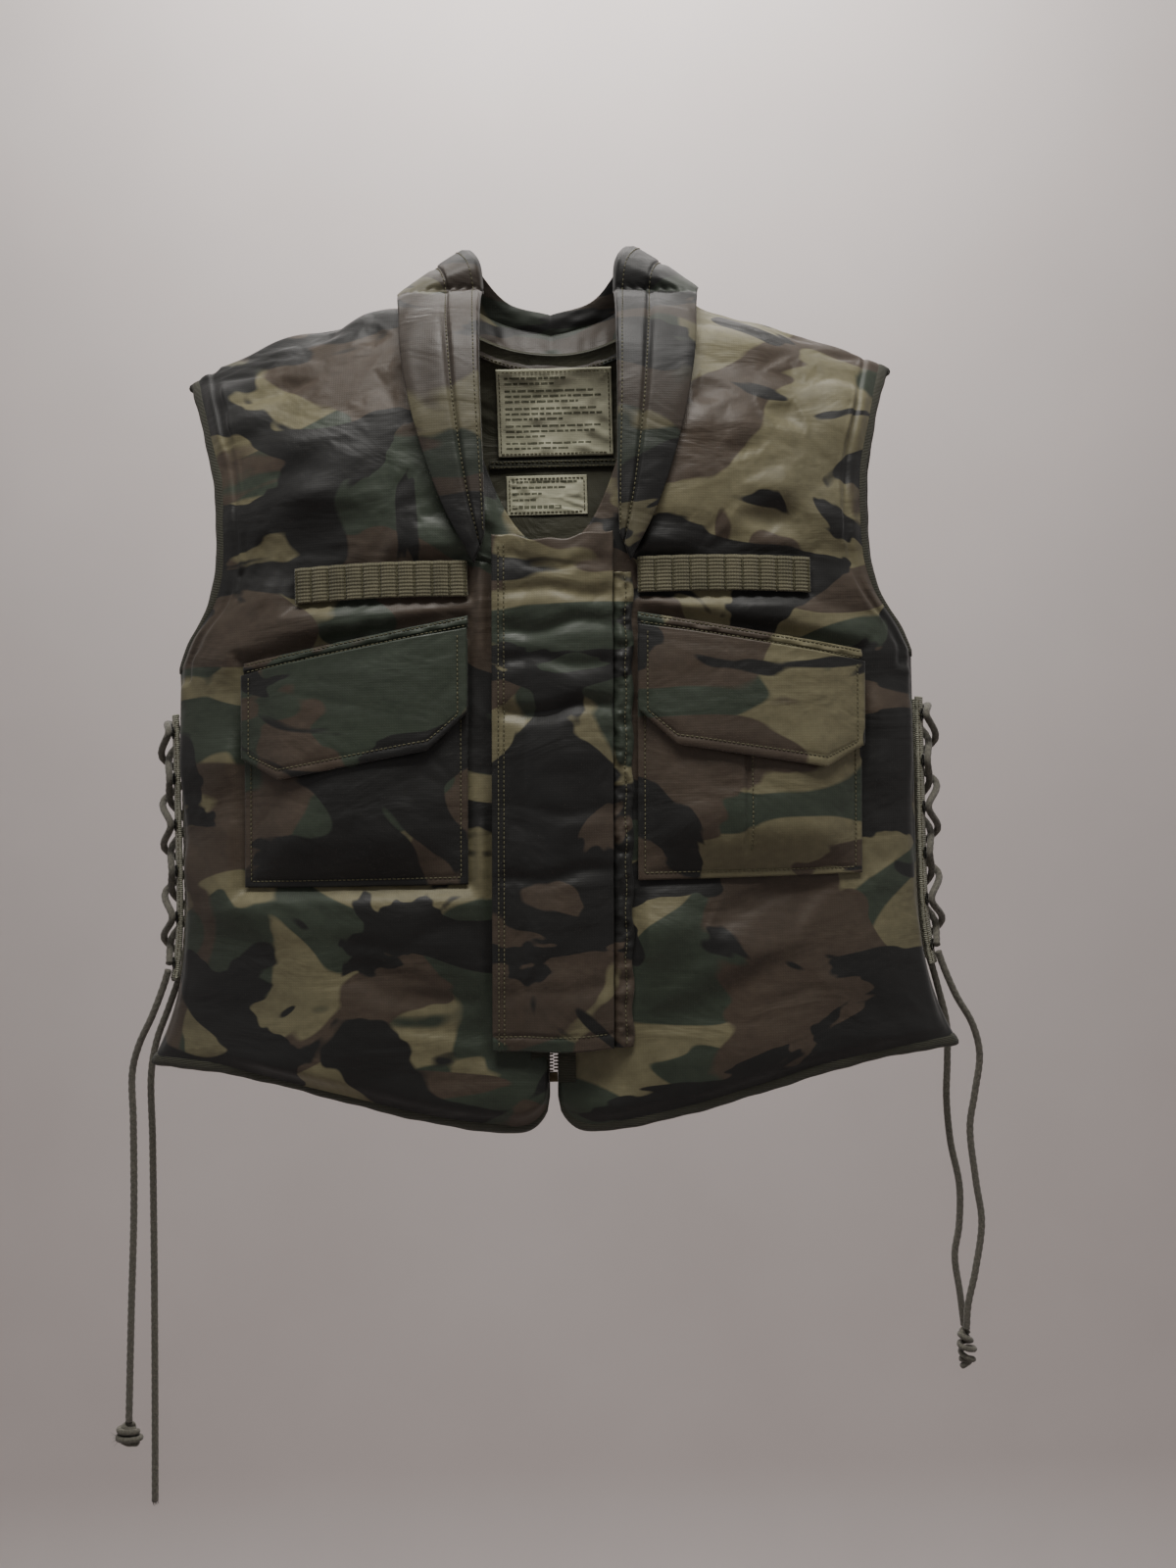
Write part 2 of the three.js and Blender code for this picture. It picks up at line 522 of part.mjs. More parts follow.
// The gap grows where the lining curves over the shoulders.
function backSheet(columns, [x0, x1], [z0, z1], thick, gap) {
  const depth = LINING_LAYER[1] + gap;
  const face = (inset) => gridOf(columns, 3, (u, v) => {
    const x = lerp(x0, x1, u);
    const z = lerp(z0, z1, v);
    const step = 1;
    const slopeX = (backY(x + step, z) - backY(x - step, z)) / (2 * step);
    const slopeZ = (backY(x, z + step) - backY(x, z - step)) / (2 * step);
    const inward = vec(slopeX, -1, slopeZ).normalize();
    return vec(x, backY(x, z), z).addScaledVector(inward, depth + inset);
  });
  return sheetBetween(face(0), face(thick));
}
add('instruction_label', backSheet(3, [-38, 59], [-96, -24], LABEL_THICK, 2.6), labelCloth());
add('size_label', backSheet(2, [-32, 36], [-146, -112], LABEL_THICK, SURFACE_GAP), labelCloth());
add('lining_seam_tape', backSheet(4, [-46, 66], [-106, -99], LABEL_THICK, 1.6), oliveTape());

// ---------------------------------------------------------------- side lacing
const backEdgeY = BACK_DEPTH * SIDE_GAP_HALF / FRONT_DEPTH;

// Point on the vest's side, lifted outward; y picks the place round the oval.
function onSide(side, y, z, lift) {
  const depth = y < 0 ? FRONT_DEPTH : BACK_DEPTH;
  const reach = (at) => halfWidthAt(z) * (1 - (at / depth) ** 2) ** (1 / SECTION_POWER);
  const slope = (reach(y + 1) - reach(y - 1)) / 2;
  return vec(reach(y), y, z).addScaledVector(vec(1, -slope, 0).normalize(), lift).multiply(vec(side, 1, 1));
}

const section = new THREE.Shape();
for (let k = 0; k < 8; k += 1) {
  const angle = 2 * Math.PI * k / 8;
  const spot = [CORD_RADIUS * Math.cos(angle), CORD_RADIUS * Math.sin(angle)];
  if (k === 0) section.moveTo(...spot);
  else section.lineTo(...spot);
}
section.closePath();

function cordAlong(points, stepLength) {
  const path = new THREE.CatmullRomCurve3(points, false, 'centripetal');
  const steps = Math.round(path.getLength() / stepLength);
  return new THREE.ExtrudeGeometry(section, { steps, extrudePath: path, bevelEnabled: false });
}

const eyeletZ = (k) => lerp(STRIP_BOTTOM_Z + 14, STRIP_TOP_Z - 14, k / (EYELETS - 1));
const laceRest = CORD_RADIUS + 3 * CLEAR;
const laceCross = laceRest + 2 * CORD_RADIUS + 1;
const eyeletY = (front) => (front ? -1 : 1) * (STRIP_INNER + (backEdgeY - STRIP_INNER) / 2);

// One strand climbs from eyelet to eyelet, changing sides; the upper one lifts over the lower.
function strand(side, startsFront, crossLift) {
  const points = [];
  for (let k = 0; k < EYELETS; k += 1) {
    const front = (k % 2 === 0) === startsFront;
    points.push(onSide(side, eyeletY(front), eyeletZ(k), laceRest));
    if (k < EYELETS - 1) points.push(onSide(side, 0, (eyeletZ(k) + eyeletZ(k + 1)) / 2, crossLift));
  }
  return points;
}

// Free ends, from the lowest eyelets down past the hem; hand-chosen points below the lacing.
const laceEnds = {
  right: {
    front: [[-304, -17, -521], [-314, -16, -545], [-326, -13, -568], [-333, -10, -590], [-334, -8, -630],
      [-336, -6, -700], [-340, -6, -780], [-344, -6, -867]],
    back: [[-303, 16, -521], [-312, 15, -545], [-321, 12, -570], [-325, 9, -595], [-325, 8, -650],
      [-326, 8, -740], [-328, 8, -850], [-330, 8, -938]],
  },
  left: {
    front: [[304, -17, -521], [314, -16, -545], [327, -13, -568], [333, -10, -592], [329, -8, -624],
      [325, -7, -650], [329, -6, -694], [333, -5, -726], [327, -5, -765], [321, -4, -792], [319.5, -3.2, -811]],
    back: [[303, 16, -521], [309, 15, -545], [314, 12, -572], [313, 9, -601], [311, 7, -630], [313, 6, -665],
      [319, 5, -700], [318, 5, -732], [314, 5, -756], [317, 4, -785], [319.5, 3.2, -811]],
  },
};

for (const [name, side] of [['right', -1], ['left', 1]]) {
  for (const [place, edgeY] of [['front', -SIDE_GAP_HALF], ['back', backEdgeY]]) {
    const sign = Math.sign(edgeY);
    const face = (lift) => gridOf(3, 6, (u, v) => onSide(side,
      lerp(edgeY - sign * STRIP_SETBACK, sign * STRIP_INNER, u), lerp(STRIP_BOTTOM_Z, STRIP_TOP_Z, v), lift));
    add(`${name}_${place}_lacing_strip`, sheetBetween(face(0), face(-STRIP_THICK)), cloth('#9a9a82', 0.85));
  }
  const up = strand(side, true, laceRest + 0.4);
  const down = strand(side, false, laceCross).reverse();
  const top = onSide(side, 0, eyeletZ(EYELETS - 1) + 8, laceRest + 1);
  add(`${name}_side_lace`, cordAlong([...up, top, ...down], 11), cordCloth());
  for (const [place, front] of [['front', true], ['back', false]]) {
    const start = onSide(side, eyeletY(front), eyeletZ(0) - CORD_RADIUS - 2, laceRest);
    const route = [start, ...laceEnds[name][place].map((spot) => vec(...spot))];
    add(`${name}_${place}_lace_end`, cordAlong(route, 14), cordCloth());
  }
}

function knot(name, centre, radii) {
  const ball = new THREE.SphereGeometry(1, 10, 7);
  ball.scale(...radii);
  ball.translate(...centre);
  add(name, ball, cordCloth());
}
knot('right_lace_knot', [-344, -6, -877.8], [12, 8, 11]);
knot('left_lace_knot', [319.5, 0, -828.4], [9, 9, 18]);

export default vest;
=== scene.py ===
"""Looks of the padded camouflage fragmentation vest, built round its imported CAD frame.

Lengths in the form functions are millimetres, as in the CAD; meshes are made in metres.
The wearer faces -Y, +X is the wearer's left, and the origin lies between the shoulders.
"""
import math

import bpy
import numpy as np
from mathutils import Matrix, Vector


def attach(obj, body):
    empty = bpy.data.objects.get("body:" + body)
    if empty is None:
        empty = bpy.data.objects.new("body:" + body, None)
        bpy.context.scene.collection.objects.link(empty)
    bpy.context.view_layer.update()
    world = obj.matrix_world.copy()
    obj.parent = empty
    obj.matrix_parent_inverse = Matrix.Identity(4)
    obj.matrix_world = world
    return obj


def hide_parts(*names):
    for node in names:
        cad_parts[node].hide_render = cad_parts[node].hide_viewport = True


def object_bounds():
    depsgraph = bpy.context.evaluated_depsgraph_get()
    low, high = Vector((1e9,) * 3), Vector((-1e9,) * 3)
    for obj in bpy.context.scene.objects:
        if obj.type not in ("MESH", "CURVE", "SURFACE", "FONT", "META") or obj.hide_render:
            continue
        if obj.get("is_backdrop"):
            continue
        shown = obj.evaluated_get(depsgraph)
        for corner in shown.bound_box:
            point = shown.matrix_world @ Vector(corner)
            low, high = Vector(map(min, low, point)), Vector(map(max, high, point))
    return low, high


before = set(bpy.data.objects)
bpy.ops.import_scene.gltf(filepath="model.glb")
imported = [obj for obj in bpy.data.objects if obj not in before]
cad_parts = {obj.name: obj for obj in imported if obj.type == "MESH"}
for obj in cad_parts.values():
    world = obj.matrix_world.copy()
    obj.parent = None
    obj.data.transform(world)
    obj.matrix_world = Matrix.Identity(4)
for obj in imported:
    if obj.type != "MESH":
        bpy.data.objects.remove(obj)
cad_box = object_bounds()
MM = 0.001

# ---------------------------------------------------------------- the vest's form
HALF_WIDTH = 297
HEM_FLARE = 30
FLARE_START = -430
FRONT_DEPTH = 78
BACK_DEPTH = 70
SECTION_POWER = 2.6
CROWN_RADIUS = 150
CROWN_TOP = 15
SHOULDER_HALF = 275
SHOULDER_DROP = 60
SIDE_HEM_Z = -578
CENTRE_HEM_DROP = 49
BACK_HEM_DROP = 12
HEM_CORNER = 28
UNDERARM_Z = -276
NECK_HALF = 80
BACK_NECK_DROP = 30
V_NECK_Z = -197
CLOSURE_LEAN = 9 / 411
FRONT_GAP = 6
SIDE_GAP_HALF = 24
PANEL_THICK = 12
SIDES = {"right": -1, "left": 1}


def lerp(a, b, t):
    return a + (b - a) * t


def clamp01(t):
    return min(1.0, max(0.0, t))


def ramp(low, high, value):
    """Smooth step from 0 at low to 1 at high."""
    t = clamp01((value - low) / (high - low))
    return t * t * (3 - 2 * t)


def through(knots):
    """Smooth function through (position, value) knots in rising order of position."""
    def slope(i):
        a, b = knots[max(0, i - 1)], knots[min(len(knots) - 1, i + 1)]
        return (b[1] - a[1]) / (b[0] - a[0])

    def value(position):
        p = min(knots[-1][0], max(knots[0][0], position))
        i = 0
        while i < len(knots) - 2 and p > knots[i + 1][0]:
            i += 1
        (x0, y0), (x1, y1) = knots[i], knots[i + 1]
        h = x1 - x0
        t = (p - x0) / h
        a = 2 * t**3 - 3 * t**2 + 1
        b = t**3 - 2 * t**2 + t
        c = t**3 - t**2
        return a * y0 + b * h * slope(i) + (1 - a) * y1 + c * h * slope(i + 1)

    return value


def centre_at(z):
    return CLOSURE_LEAN * max(0, min(V_NECK_Z, z) - SIDE_HEM_Z + CENTRE_HEM_DROP - HEM_CORNER)


def half_width_at(z):
    return HALF_WIDTH + HEM_FLARE * clamp01((FLARE_START - z) / (FLARE_START - SIDE_HEM_Z)) ** 3


def crown_at(x):
    return CROWN_TOP - SHOULDER_DROP * (abs(x) / SHOULDER_HALF) ** 1.6


def section_at(x, z):
    across = min(1.0, abs(x) / half_width_at(z))
    below = clamp01((crown_at(x) - z) / CROWN_RADIUS)
    return math.sqrt(1 - across**SECTION_POWER) * math.sqrt(1 - (1 - below) ** 2)


def front_y(x, z):
    return -FRONT_DEPTH * section_at(x, z)


def back_y(x, z):
    return BACK_DEPTH * section_at(x, z)


def on_surface(depth_at, sign, x, z, height):
    """Point at a height outside the front (sign -1) or the back (sign 1)."""
    slope_x = (depth_at(x + 1, z) - depth_at(x - 1, z)) / 2
    slope_z = (depth_at(x, z + 1) - depth_at(x, z - 1)) / 2
    way = np.array([-slope_x, 1.0, -slope_z]) * sign
    return np.array([x, depth_at(x, z), z]) + way / np.linalg.norm(way) * height


def on_front(x, z, height):
    return on_surface(front_y, -1, x, z, height)


EDGE_SHARE = (1 - (SIDE_GAP_HALF / FRONT_DEPTH) ** 2) ** (1 / SECTION_POWER)
SHOULDER_Z = CROWN_TOP - SHOULDER_DROP
front_armhole = through([(UNDERARM_Z, EDGE_SHARE * HALF_WIDTH), (-258, 276), (-231, 256), (-195, 247),
                         (-140, 248), (-90, 260), (SHOULDER_Z, SHOULDER_HALF)])
back_armhole = through([(UNDERARM_Z, EDGE_SHARE * HALF_WIDTH), (-240, 275), (-190, 266), (-120, 265),
                        (SHOULDER_Z, SHOULDER_HALF)])


def outer_edge(armhole, z):
    return armhole(z) if z > UNDERARM_Z else EDGE_SHARE * half_width_at(z)


def neck_opening(z):
    return (NECK_HALF - FRONT_GAP / 2) * clamp01((z - V_NECK_Z) / -V_NECK_Z) ** 0.45


def patch(low, high, near, far):
    """Surface between four edge curves: low and high run with u, near and far run with v."""
    corners = [np.array(low(0)), np.array(low(1)), np.array(high(0)), np.array(high(1))]

    def at(u, v):
        edges = ((1 - v) * np.array(low(u)) + v * np.array(high(u))
                 + (1 - u) * np.array(near(v)) + u * np.array(far(v)))
        return (edges - (1 - u) * (1 - v) * corners[0] - u * (1 - v) * corners[1]
                - (1 - u) * v * corners[2] - u * v * corners[3])

    return at


def front_hem(from_centre):
    wave = (math.cos(math.pi * clamp01(from_centre / 300)) + 1) / 2
    corner = max(0, HEM_CORNER - (from_centre - FRONT_GAP / 2))
    return SIDE_HEM_Z - CENTRE_HEM_DROP * wave + HEM_CORNER - math.sqrt(HEM_CORNER**2 - corner**2)


def front_outline(side):
    def near_x(z):
        return centre_at(z) + side * (FRONT_GAP / 2 + neck_opening(z))

    hem_half = outer_edge(front_armhole, SIDE_HEM_Z)
    corner_z = front_hem(FRONT_GAP / 2)
    neck_x = side * NECK_HALF + centre_at(0)

    def low(u):
        return [lerp(near_x(corner_z), side * hem_half, u), front_hem(lerp(FRONT_GAP / 2, hem_half, u))]

    def high(u):
        x = lerp(neck_x, side * SHOULDER_HALF, u)
        return [x, crown_at(x)]

    def near(v):
        z = lerp(corner_z, crown_at(neck_x), v)
        return [neck_x if v == 1 else near_x(z), z]

    def far(v):
        z = lerp(SIDE_HEM_Z, crown_at(SHOULDER_HALF), v)
        return [side * outer_edge(front_armhole, z), z]

    shape = patch(low, high, near, far)
    return lambda u, v: shape(u**1.15, 1 - (1 - v) ** 1.5)


def back_outline():
    hem_half = outer_edge(back_armhole, SIDE_HEM_Z)

    def low(u):
        x = lerp(-hem_half, hem_half, u)
        return [x, SIDE_HEM_Z - BACK_HEM_DROP * (1 - (x / hem_half) ** 2)]

    def high(u):
        x = lerp(-SHOULDER_HALF, SHOULDER_HALF, u)
        dip = max(0, 1 - ((x - centre_at(0)) / NECK_HALF) ** 2)
        return [x, crown_at(x) - BACK_NECK_DROP * dip]

    def edge(sign):
        def at(v):
            z = lerp(SIDE_HEM_Z, crown_at(SHOULDER_HALF), v)
            return [sign * outer_edge(back_armhole, z), z]
        return at

    shape = patch(low, high, edge(-1), edge(1))
    return lambda u, v: shape(u, 1 - (1 - v) ** 1.5)


# ---------------------------------------------------------------- mesh helpers
def grid_of(columns, rows, at):
    """Array of points at (i / columns, j / rows), in millimetres."""
    return np.array([[at(i / columns, j / rows) for j in range(rows + 1)] for i in range(columns + 1)])


def grid_ways(grid, toward):
    """Unit normals of a grid, on the side of the direction toward."""
    ways = np.cross(np.gradient(grid, axis=0), np.gradient(grid, axis=1))
    ways /= np.maximum(np.linalg.norm(ways, axis=2, keepdims=True), 1e-9)
    return ways if (ways * np.asarray(toward)).sum() > 0 else -ways


def make(name, points, faces, materials, smooth=True, face_slots=None):
    """A mesh object from points in millimetres."""
    mesh = bpy.data.meshes.new(name)
    mesh.from_pydata((np.asarray(points) * MM).tolist(), [], faces)
    mesh.update()
    for material in materials:
        mesh.materials.append(material)
    if smooth:
        mesh.polygons.foreach_set("use_smooth", [True] * len(mesh.polygons))
    if face_slots is not None:
        mesh.polygons.foreach_set("material_index", face_slots)
    made = bpy.data.objects.new(name, mesh)
    bpy.context.scene.collection.objects.link(made)
    return made


def sheet_between(name, upper, lower, materials, slots=(0, 0, 0)):
    """Closed sheet between two grids; slots are the material slots of upper face, lower face and rim."""
    columns, rows = upper.shape[0] - 1, upper.shape[1] - 1
    stride = rows + 1
    shift = stride * (columns + 1)
    points = np.concatenate([upper.reshape(-1, 3), lower.reshape(-1, 3)])
    i, j = np.meshgrid(np.arange(columns), np.arange(rows), indexing="ij")
    a = (i * stride + j).ravel()
    top = np.stack([a, a + stride, a + stride + 1, a + 1], axis=1)
    rim = []
    for c in range(columns):
        for r, flip in ((0, False), (rows, True)):
            q = [c * stride + r, c * stride + r + shift, (c + 1) * stride + r + shift, (c + 1) * stride + r]
            rim.append(q[::-1] if flip else q)
    for r in range(rows):
        for c, flip in ((0, True), (columns, False)):
            q = [c * stride + r, c * stride + r + shift, c * stride + r + 1 + shift, c * stride + r + 1]
            rim.append(q[::-1] if flip else q)
    low = top[:, ::-1] + shift
    faces = top.tolist() + low.tolist() + rim
    marks = [slots[0]] * len(top) + [slots[1]] * len(low) + [slots[2]] * len(rim)
    tri = np.array([f[:3] for f in faces] + [[f[0], f[2], f[3]] for f in faces])
    p, q, r = points[tri[:, 0]], points[tri[:, 1]], points[tri[:, 2]]
    if (p * np.cross(q, r)).sum() < 0:
        faces = [f[::-1] for f in faces]
    return make(name, points, faces, materials, face_slots=marks)


def frames_along(path):
    """Two cross directions that turn as little as they can along a path."""
    tangents = np.gradient(path, axis=0)
    tangents /= np.linalg.norm(tangents, axis=1, keepdims=True)
    side = np.cross(tangents[0], [0, 1, 0.13])
    sides = []
    for tangent in tangents:
        side = side - tangent * side.dot(tangent)
        side = side / np.linalg.norm(side)
        sides.append(side)
    sides = np.array(sides)
    return sides, np.cross(tangents, sides)


def tube(name, path, section, materials):
    """Closed tube: section(k, s) gives corner k of section.count as (across, up) at distance s."""
    path = np.asarray(path, dtype=float)
    sides, ups = frames_along(path)
    distance = np.concatenate([[0], np.cumsum(np.linalg.norm(np.diff(path, axis=0), axis=1))])
    count = section.count
    rings = []
    for p, a, b, s in zip(path, sides, ups, distance):
        rings.append([p + a * u + b * w for u, w in (section(k, s) for k in range(count))])
    points = np.array(rings).reshape(-1, 3)
    faces = []
    for r in range(len(path) - 1):
        for k in range(count):
            n = (k + 1) % count
            faces.append([r * count + k, r * count + n, (r + 1) * count + n, (r + 1) * count + k])
    last = (len(path) - 1) * count
    faces += [list(range(count))[::-1], list(range(last, last + count))]
    return make(name, points, faces, materials)


def spline(points, step):
    """Even points along a smooth curve through given points, in millimetres."""
    knots = np.asarray(points, dtype=float)
    padded_knots = np.vstack([2 * knots[0] - knots[1], knots, 2 * knots[-1] - knots[-2]])
    fine = []
    for a, b, c, d in zip(padded_knots, padded_knots[1:], padded_knots[2:], padded_knots[3:]):
        t0, t1 = 0.0, np.linalg.norm(b - a) ** 0.5
        t2 = t1 + np.linalg.norm(c - b) ** 0.5
        t3 = t2 + np.linalg.norm(d - c) ** 0.5
        for t in np.linspace(t1, t2, 24, endpoint=False):
            ab = (t1 - t) / (t1 - t0) * a + (t - t0) / (t1 - t0) * b
            bc = (t2 - t) / (t2 - t1) * b + (t - t1) / (t2 - t1) * c
            cd = (t3 - t) / (t3 - t2) * c + (t - t2) / (t3 - t2) * d
            abc = (t2 - t) / (t2 - t0) * ab + (t - t0) / (t2 - t0) * bc
            bcd = (t3 - t) / (t3 - t1) * bc + (t - t1) / (t3 - t1) * cd
            fine.append((t2 - t) / (t2 - t1) * abc + (t - t1) / (t2 - t1) * bcd)
    fine = np.array(fine + [knots[-1]])
    distance = np.concatenate([[0], np.cumsum(np.linalg.norm(np.diff(fine, axis=0), axis=1))])
    even = np.linspace(0, distance[-1], max(2, round(distance[-1] / step) + 1))
    return np.stack([np.interp(even, distance, fine[:, k]) for k in range(3)], axis=1)


def smooth_noise(shape, cells, seed):
    """Seeded value noise on a grid, from -1 to 1, with about cells bumps each way."""
    random = np.random.default_rng(seed)
    coarse = random.uniform(-1, 1, (cells[0] + 2, cells[1] + 2))
    x = np.linspace(0, cells[0], shape[0])
    y = np.linspace(0, cells[1], shape[1])
    ix, iy = x.astype(int), y.astype(int)
    fx, fy = (x - ix)[:, None], (y - iy)[None, :]
    fx, fy = fx * fx * (3 - 2 * fx), fy * fy * (3 - 2 * fy)

    def pick(a, b):
        return coarse[np.ix_(ix + a, iy + b)]

    return ((pick(0, 0) * (1 - fx) + pick(1, 0) * fx) * (1 - fy)
            + (pick(0, 1) * (1 - fx) + pick(1, 1) * fx) * fy)


# ---------------------------------------------------------------- materials
class Nodes:
    """Short hand for building one material's nodes."""

    def __init__(self, name, base, roughness, metallic=0.0, sheen=0.0):
        self.material = bpy.data.materials.new(name)
        self.material.use_nodes = True
        self.tree = self.material.node_tree
        self.shader = self.tree.nodes["Principled BSDF"]
        self.shader.inputs["Base Color"].default_value = (*base, 1)
        self.shader.inputs["Roughness"].default_value = roughness
        self.shader.inputs["Metallic"].default_value = metallic
        self.shader.inputs["Sheen Weight"].default_value = sheen
        self.place = self.tree.nodes.new("ShaderNodeTexCoord").outputs["Object"]

    def add(self, kind, **settings):
        made = self.tree.nodes.new(kind)
        for key, value in settings.items():
            setattr(made, key, value)
        return made

    def link(self, source, target):
        self.tree.links.new(source, target)

    def mapped(self, source, scale, offset=(0, 0, 0), turn=(0, 0, 0)):
        made = self.add("ShaderNodeMapping")
        made.inputs["Scale"].default_value = scale
        made.inputs["Location"].default_value = offset
        made.inputs["Rotation"].default_value = turn
        self.link(source, made.inputs["Vector"])
        return made.outputs[0]

    def noise(self, source, scale, detail=2.0, distortion=0.0, rough=0.5):
        made = self.add("ShaderNodeTexNoise")
        made.inputs["Scale"].default_value = scale
        made.inputs["Detail"].default_value = detail
        made.inputs["Distortion"].default_value = distortion
        made.inputs["Roughness"].default_value = rough
        self.link(source, made.inputs["Vector"])
        return made.outputs["Fac"]

    def wave(self, source, scale, direction, distortion=0.0):
        made = self.add("ShaderNodeTexWave", bands_direction=direction)
        made.inputs["Scale"].default_value = scale
        made.inputs["Distortion"].default_value = distortion
        self.link(source, made.inputs["Vector"])
        return made.outputs["Fac"]

    def step(self, source, threshold, softness=0.006):
        made = self.add("ShaderNodeMapRange")
        made.inputs["From Min"].default_value = threshold - softness
        made.inputs["From Max"].default_value = threshold + softness
        self.link(source, made.inputs["Value"])
        return made.outputs[0]

    def range(self, source, low, high):
        made = self.add("ShaderNodeMapRange")
        made.inputs["From Min"].default_value = 0.3
        made.inputs["From Max"].default_value = 0.7
        made.inputs["To Min"].default_value = low
        made.inputs["To Max"].default_value = high
        self.link(source, made.inputs["Value"])
        return made.outputs[0]

    def mix(self, factor, a, b, blend="MIX"):
        made = self.add("ShaderNodeMix", data_type="RGBA", blend_type=blend)
        for value, socket in ((factor, made.inputs[0]), (a, made.inputs[6]), (b, made.inputs[7])):
            if isinstance(value, (tuple, list)):
                socket.default_value = (*value, 1)
            elif isinstance(value, (int, float)):
                socket.default_value = value
            else:
                self.link(value, socket)
        return made.outputs[2]

    def math(self, operation, a, b):
        made = self.add("ShaderNodeMath", operation=operation)
        for value, socket in zip((a, b), made.inputs):
            if isinstance(value, (int, float)):
                socket.default_value = value
            else:
                self.link(value, socket)
        return made.outputs[0]

    def bump(self, heights):
        """Chain of (height, strength, distance in metres) into the shader's normal."""
        normal = None
        for height, strength, distance in heights:
            made = self.add("ShaderNodeBump")
            made.inputs["Strength"].default_value = strength
            made.inputs["Distance"].default_value = distance
            self.link(height, made.inputs["Height"])
            if normal is not None:
                self.link(normal, made.inputs["Normal"])
            normal = made.outputs[0]
        self.link(normal, self.shader.inputs["Normal"])

    def colour(self, source):
        self.link(source, self.shader.inputs["Base Color"])

    def roughness(self, source):
        self.link(source, self.shader.inputs["Roughness"])


KHAKI = (0.165, 0.150, 0.082)
GREEN = (0.034, 0.047, 0.030)
BROWN = (0.066, 0.048, 0.032)
BLACK = (0.0085, 0.0088, 0.0078)
OLIVE = (0.060, 0.060, 0.033)


def weave(n, pitch=0.0009):
    threads = 1 / pitch / 6.28
    across = n.wave(n.mapped(n.place, (1, 0.35, 0.0)), threads, "X")
    along = n.wave(n.mapped(n.place, (0.0, 0.35, 1)), threads, "Z")
    return n.math("MULTIPLY", across, along)


def camouflage(name, offset, painted_shade_scale=1.0, brighter=0.0):
    """Woodland pattern: green, brown and black blotches over khaki, printed on creased nylon."""
    n = Nodes(name, KHAKI, 0.46, sheen=0.12)
    place = n.mapped(n.place, (1.0, 0.8, 1.75), offset)
    # Painted shade: more green and black blotches low down and more khaki high up, so the vest darkens
    # towards the bottom as under light from above.
    low = n.add("ShaderNodeSeparateXYZ")
    n.link(n.place, low.inputs[0])
    painted_shade_by_height = n.add("ShaderNodeMapRange")
    n.link(low.outputs[2], painted_shade_by_height.inputs["Value"])
    for socket, value in (("From Min", -0.62), ("From Max", -0.05), ("To Min", 0.045), ("To Max", -0.02)):
        painted_shade_by_height.inputs[socket].default_value = value
    painted_shade_by_height = painted_shade_by_height.outputs[0]
    green = n.step(n.math("ADD", n.noise(place, 4.6, 2.2, 0.9), painted_shade_by_height), 0.500 + brighter)
    brown = n.step(n.noise(n.mapped(place, (1, 1, 1), (3.1, 1.7, 0.4)), 4.9, 2.4, 1.1), 0.535 + brighter)
    dark_noise = n.noise(n.mapped(place, (1.15, 1, 1.1), (7.7, 4.2, 2.9)), 5.2, 2.8, 1.5)
    black = n.step(n.math("ADD", dark_noise, painted_shade_by_height), 0.552 + brighter)
    colour = n.mix(green, KHAKI, GREEN)
    colour = n.mix(brown, colour, BROWN)
    colour = n.mix(black, colour, BLACK)
    # Random fading; a scale below 1, as on the collar, also darkens the whole material as painted shade.
    fade_and_painted_shade = n.range(n.noise(n.place, 9, 3), 0.82 * painted_shade_scale, 1.12 * painted_shade_scale)
    dust = n.range(n.noise(n.place, 160, 4), 0.9, 1.1)
    colour = n.mix(1.0, colour, n.math("MULTIPLY", fade_and_painted_shade, dust), "MULTIPLY")
    n.colour(colour)
    n.roughness(n.range(n.noise(n.place, 22, 3), 0.46, 0.62))
    creases = n.noise(n.mapped(n.place, (13, 9, 30)), 1.0, 3, 0.7, 0.5)
    fine = n.noise(n.mapped(n.place, (60, 40, 95)), 1.0, 3, 0.8)
    n.bump([(creases, 0.5, 0.006), (fine, 0.22, 0.0012), (weave(n), 0.25, 0.0002)])
    return n.material


def lining_cloth():
    n = Nodes("lining_cloth", OLIVE, 0.55, sheen=0.1)
    n.colour(n.mix(n.range(n.noise(n.place, 14, 4), 0.0, 1.0), (0.040, 0.041, 0.026), (0.080, 0.078, 0.048)))
    n.bump([(n.noise(n.mapped(n.place, (20, 12, 34)), 1.0, 5, 1.5), 0.6, 0.004), (weave(n), 0.2, 0.0002)])
    return n.material


def tape_cloth(name, dark, light, rib=0.0016, direction="X", worn=0.5):
    """Woven narrow tape with ribs, a little worn and faded."""
    n = Nodes(name, dark, 0.82, sheen=0.2)
    ribs = n.wave(n.mapped(n.place, (1, 1, 1)), 1 / rib / 6.28 * 2, direction)
    patchy = n.range(n.noise(n.place, 60, 4), 0.0, worn)
    colour = n.mix(patchy, dark, light)
    colour = n.mix(n.math("MULTIPLY", ribs, 0.35), colour, light)
    n.colour(colour)
    n.bump([(ribs, 0.8, 0.0006), (n.noise(n.place, 900, 2), 0.4, 0.0003)])
    return n.material


def cord_cloth():
    n = Nodes("braided_cord", (0.10, 0.095, 0.075), 0.85, sheen=0.3)
    n.colour(n.mix(n.range(n.noise(n.place, 700, 3), 0.0, 1.0), (0.070, 0.067, 0.052), (0.165, 0.155, 0.125)))
    n.bump([(n.noise(n.place, 1600, 2), 0.5, 0.0003)])
    return n.material


def label_cloth():
    """Pale green cloth; its print is separate plain bars."""
    n = Nodes("label_cloth", (0.5, 0.5, 0.34), 0.7)
    stain = n.range(n.noise(n.place, 35, 4), 0.0, 1.0)
    n.colour(n.mix(stain, (0.47, 0.47, 0.33), (0.62, 0.61, 0.45)))
    n.bump([(n.noise(n.place, 60, 3), 0.4, 0.002), (weave(n, 0.0007), 0.3, 0.0002)])
    return n.material


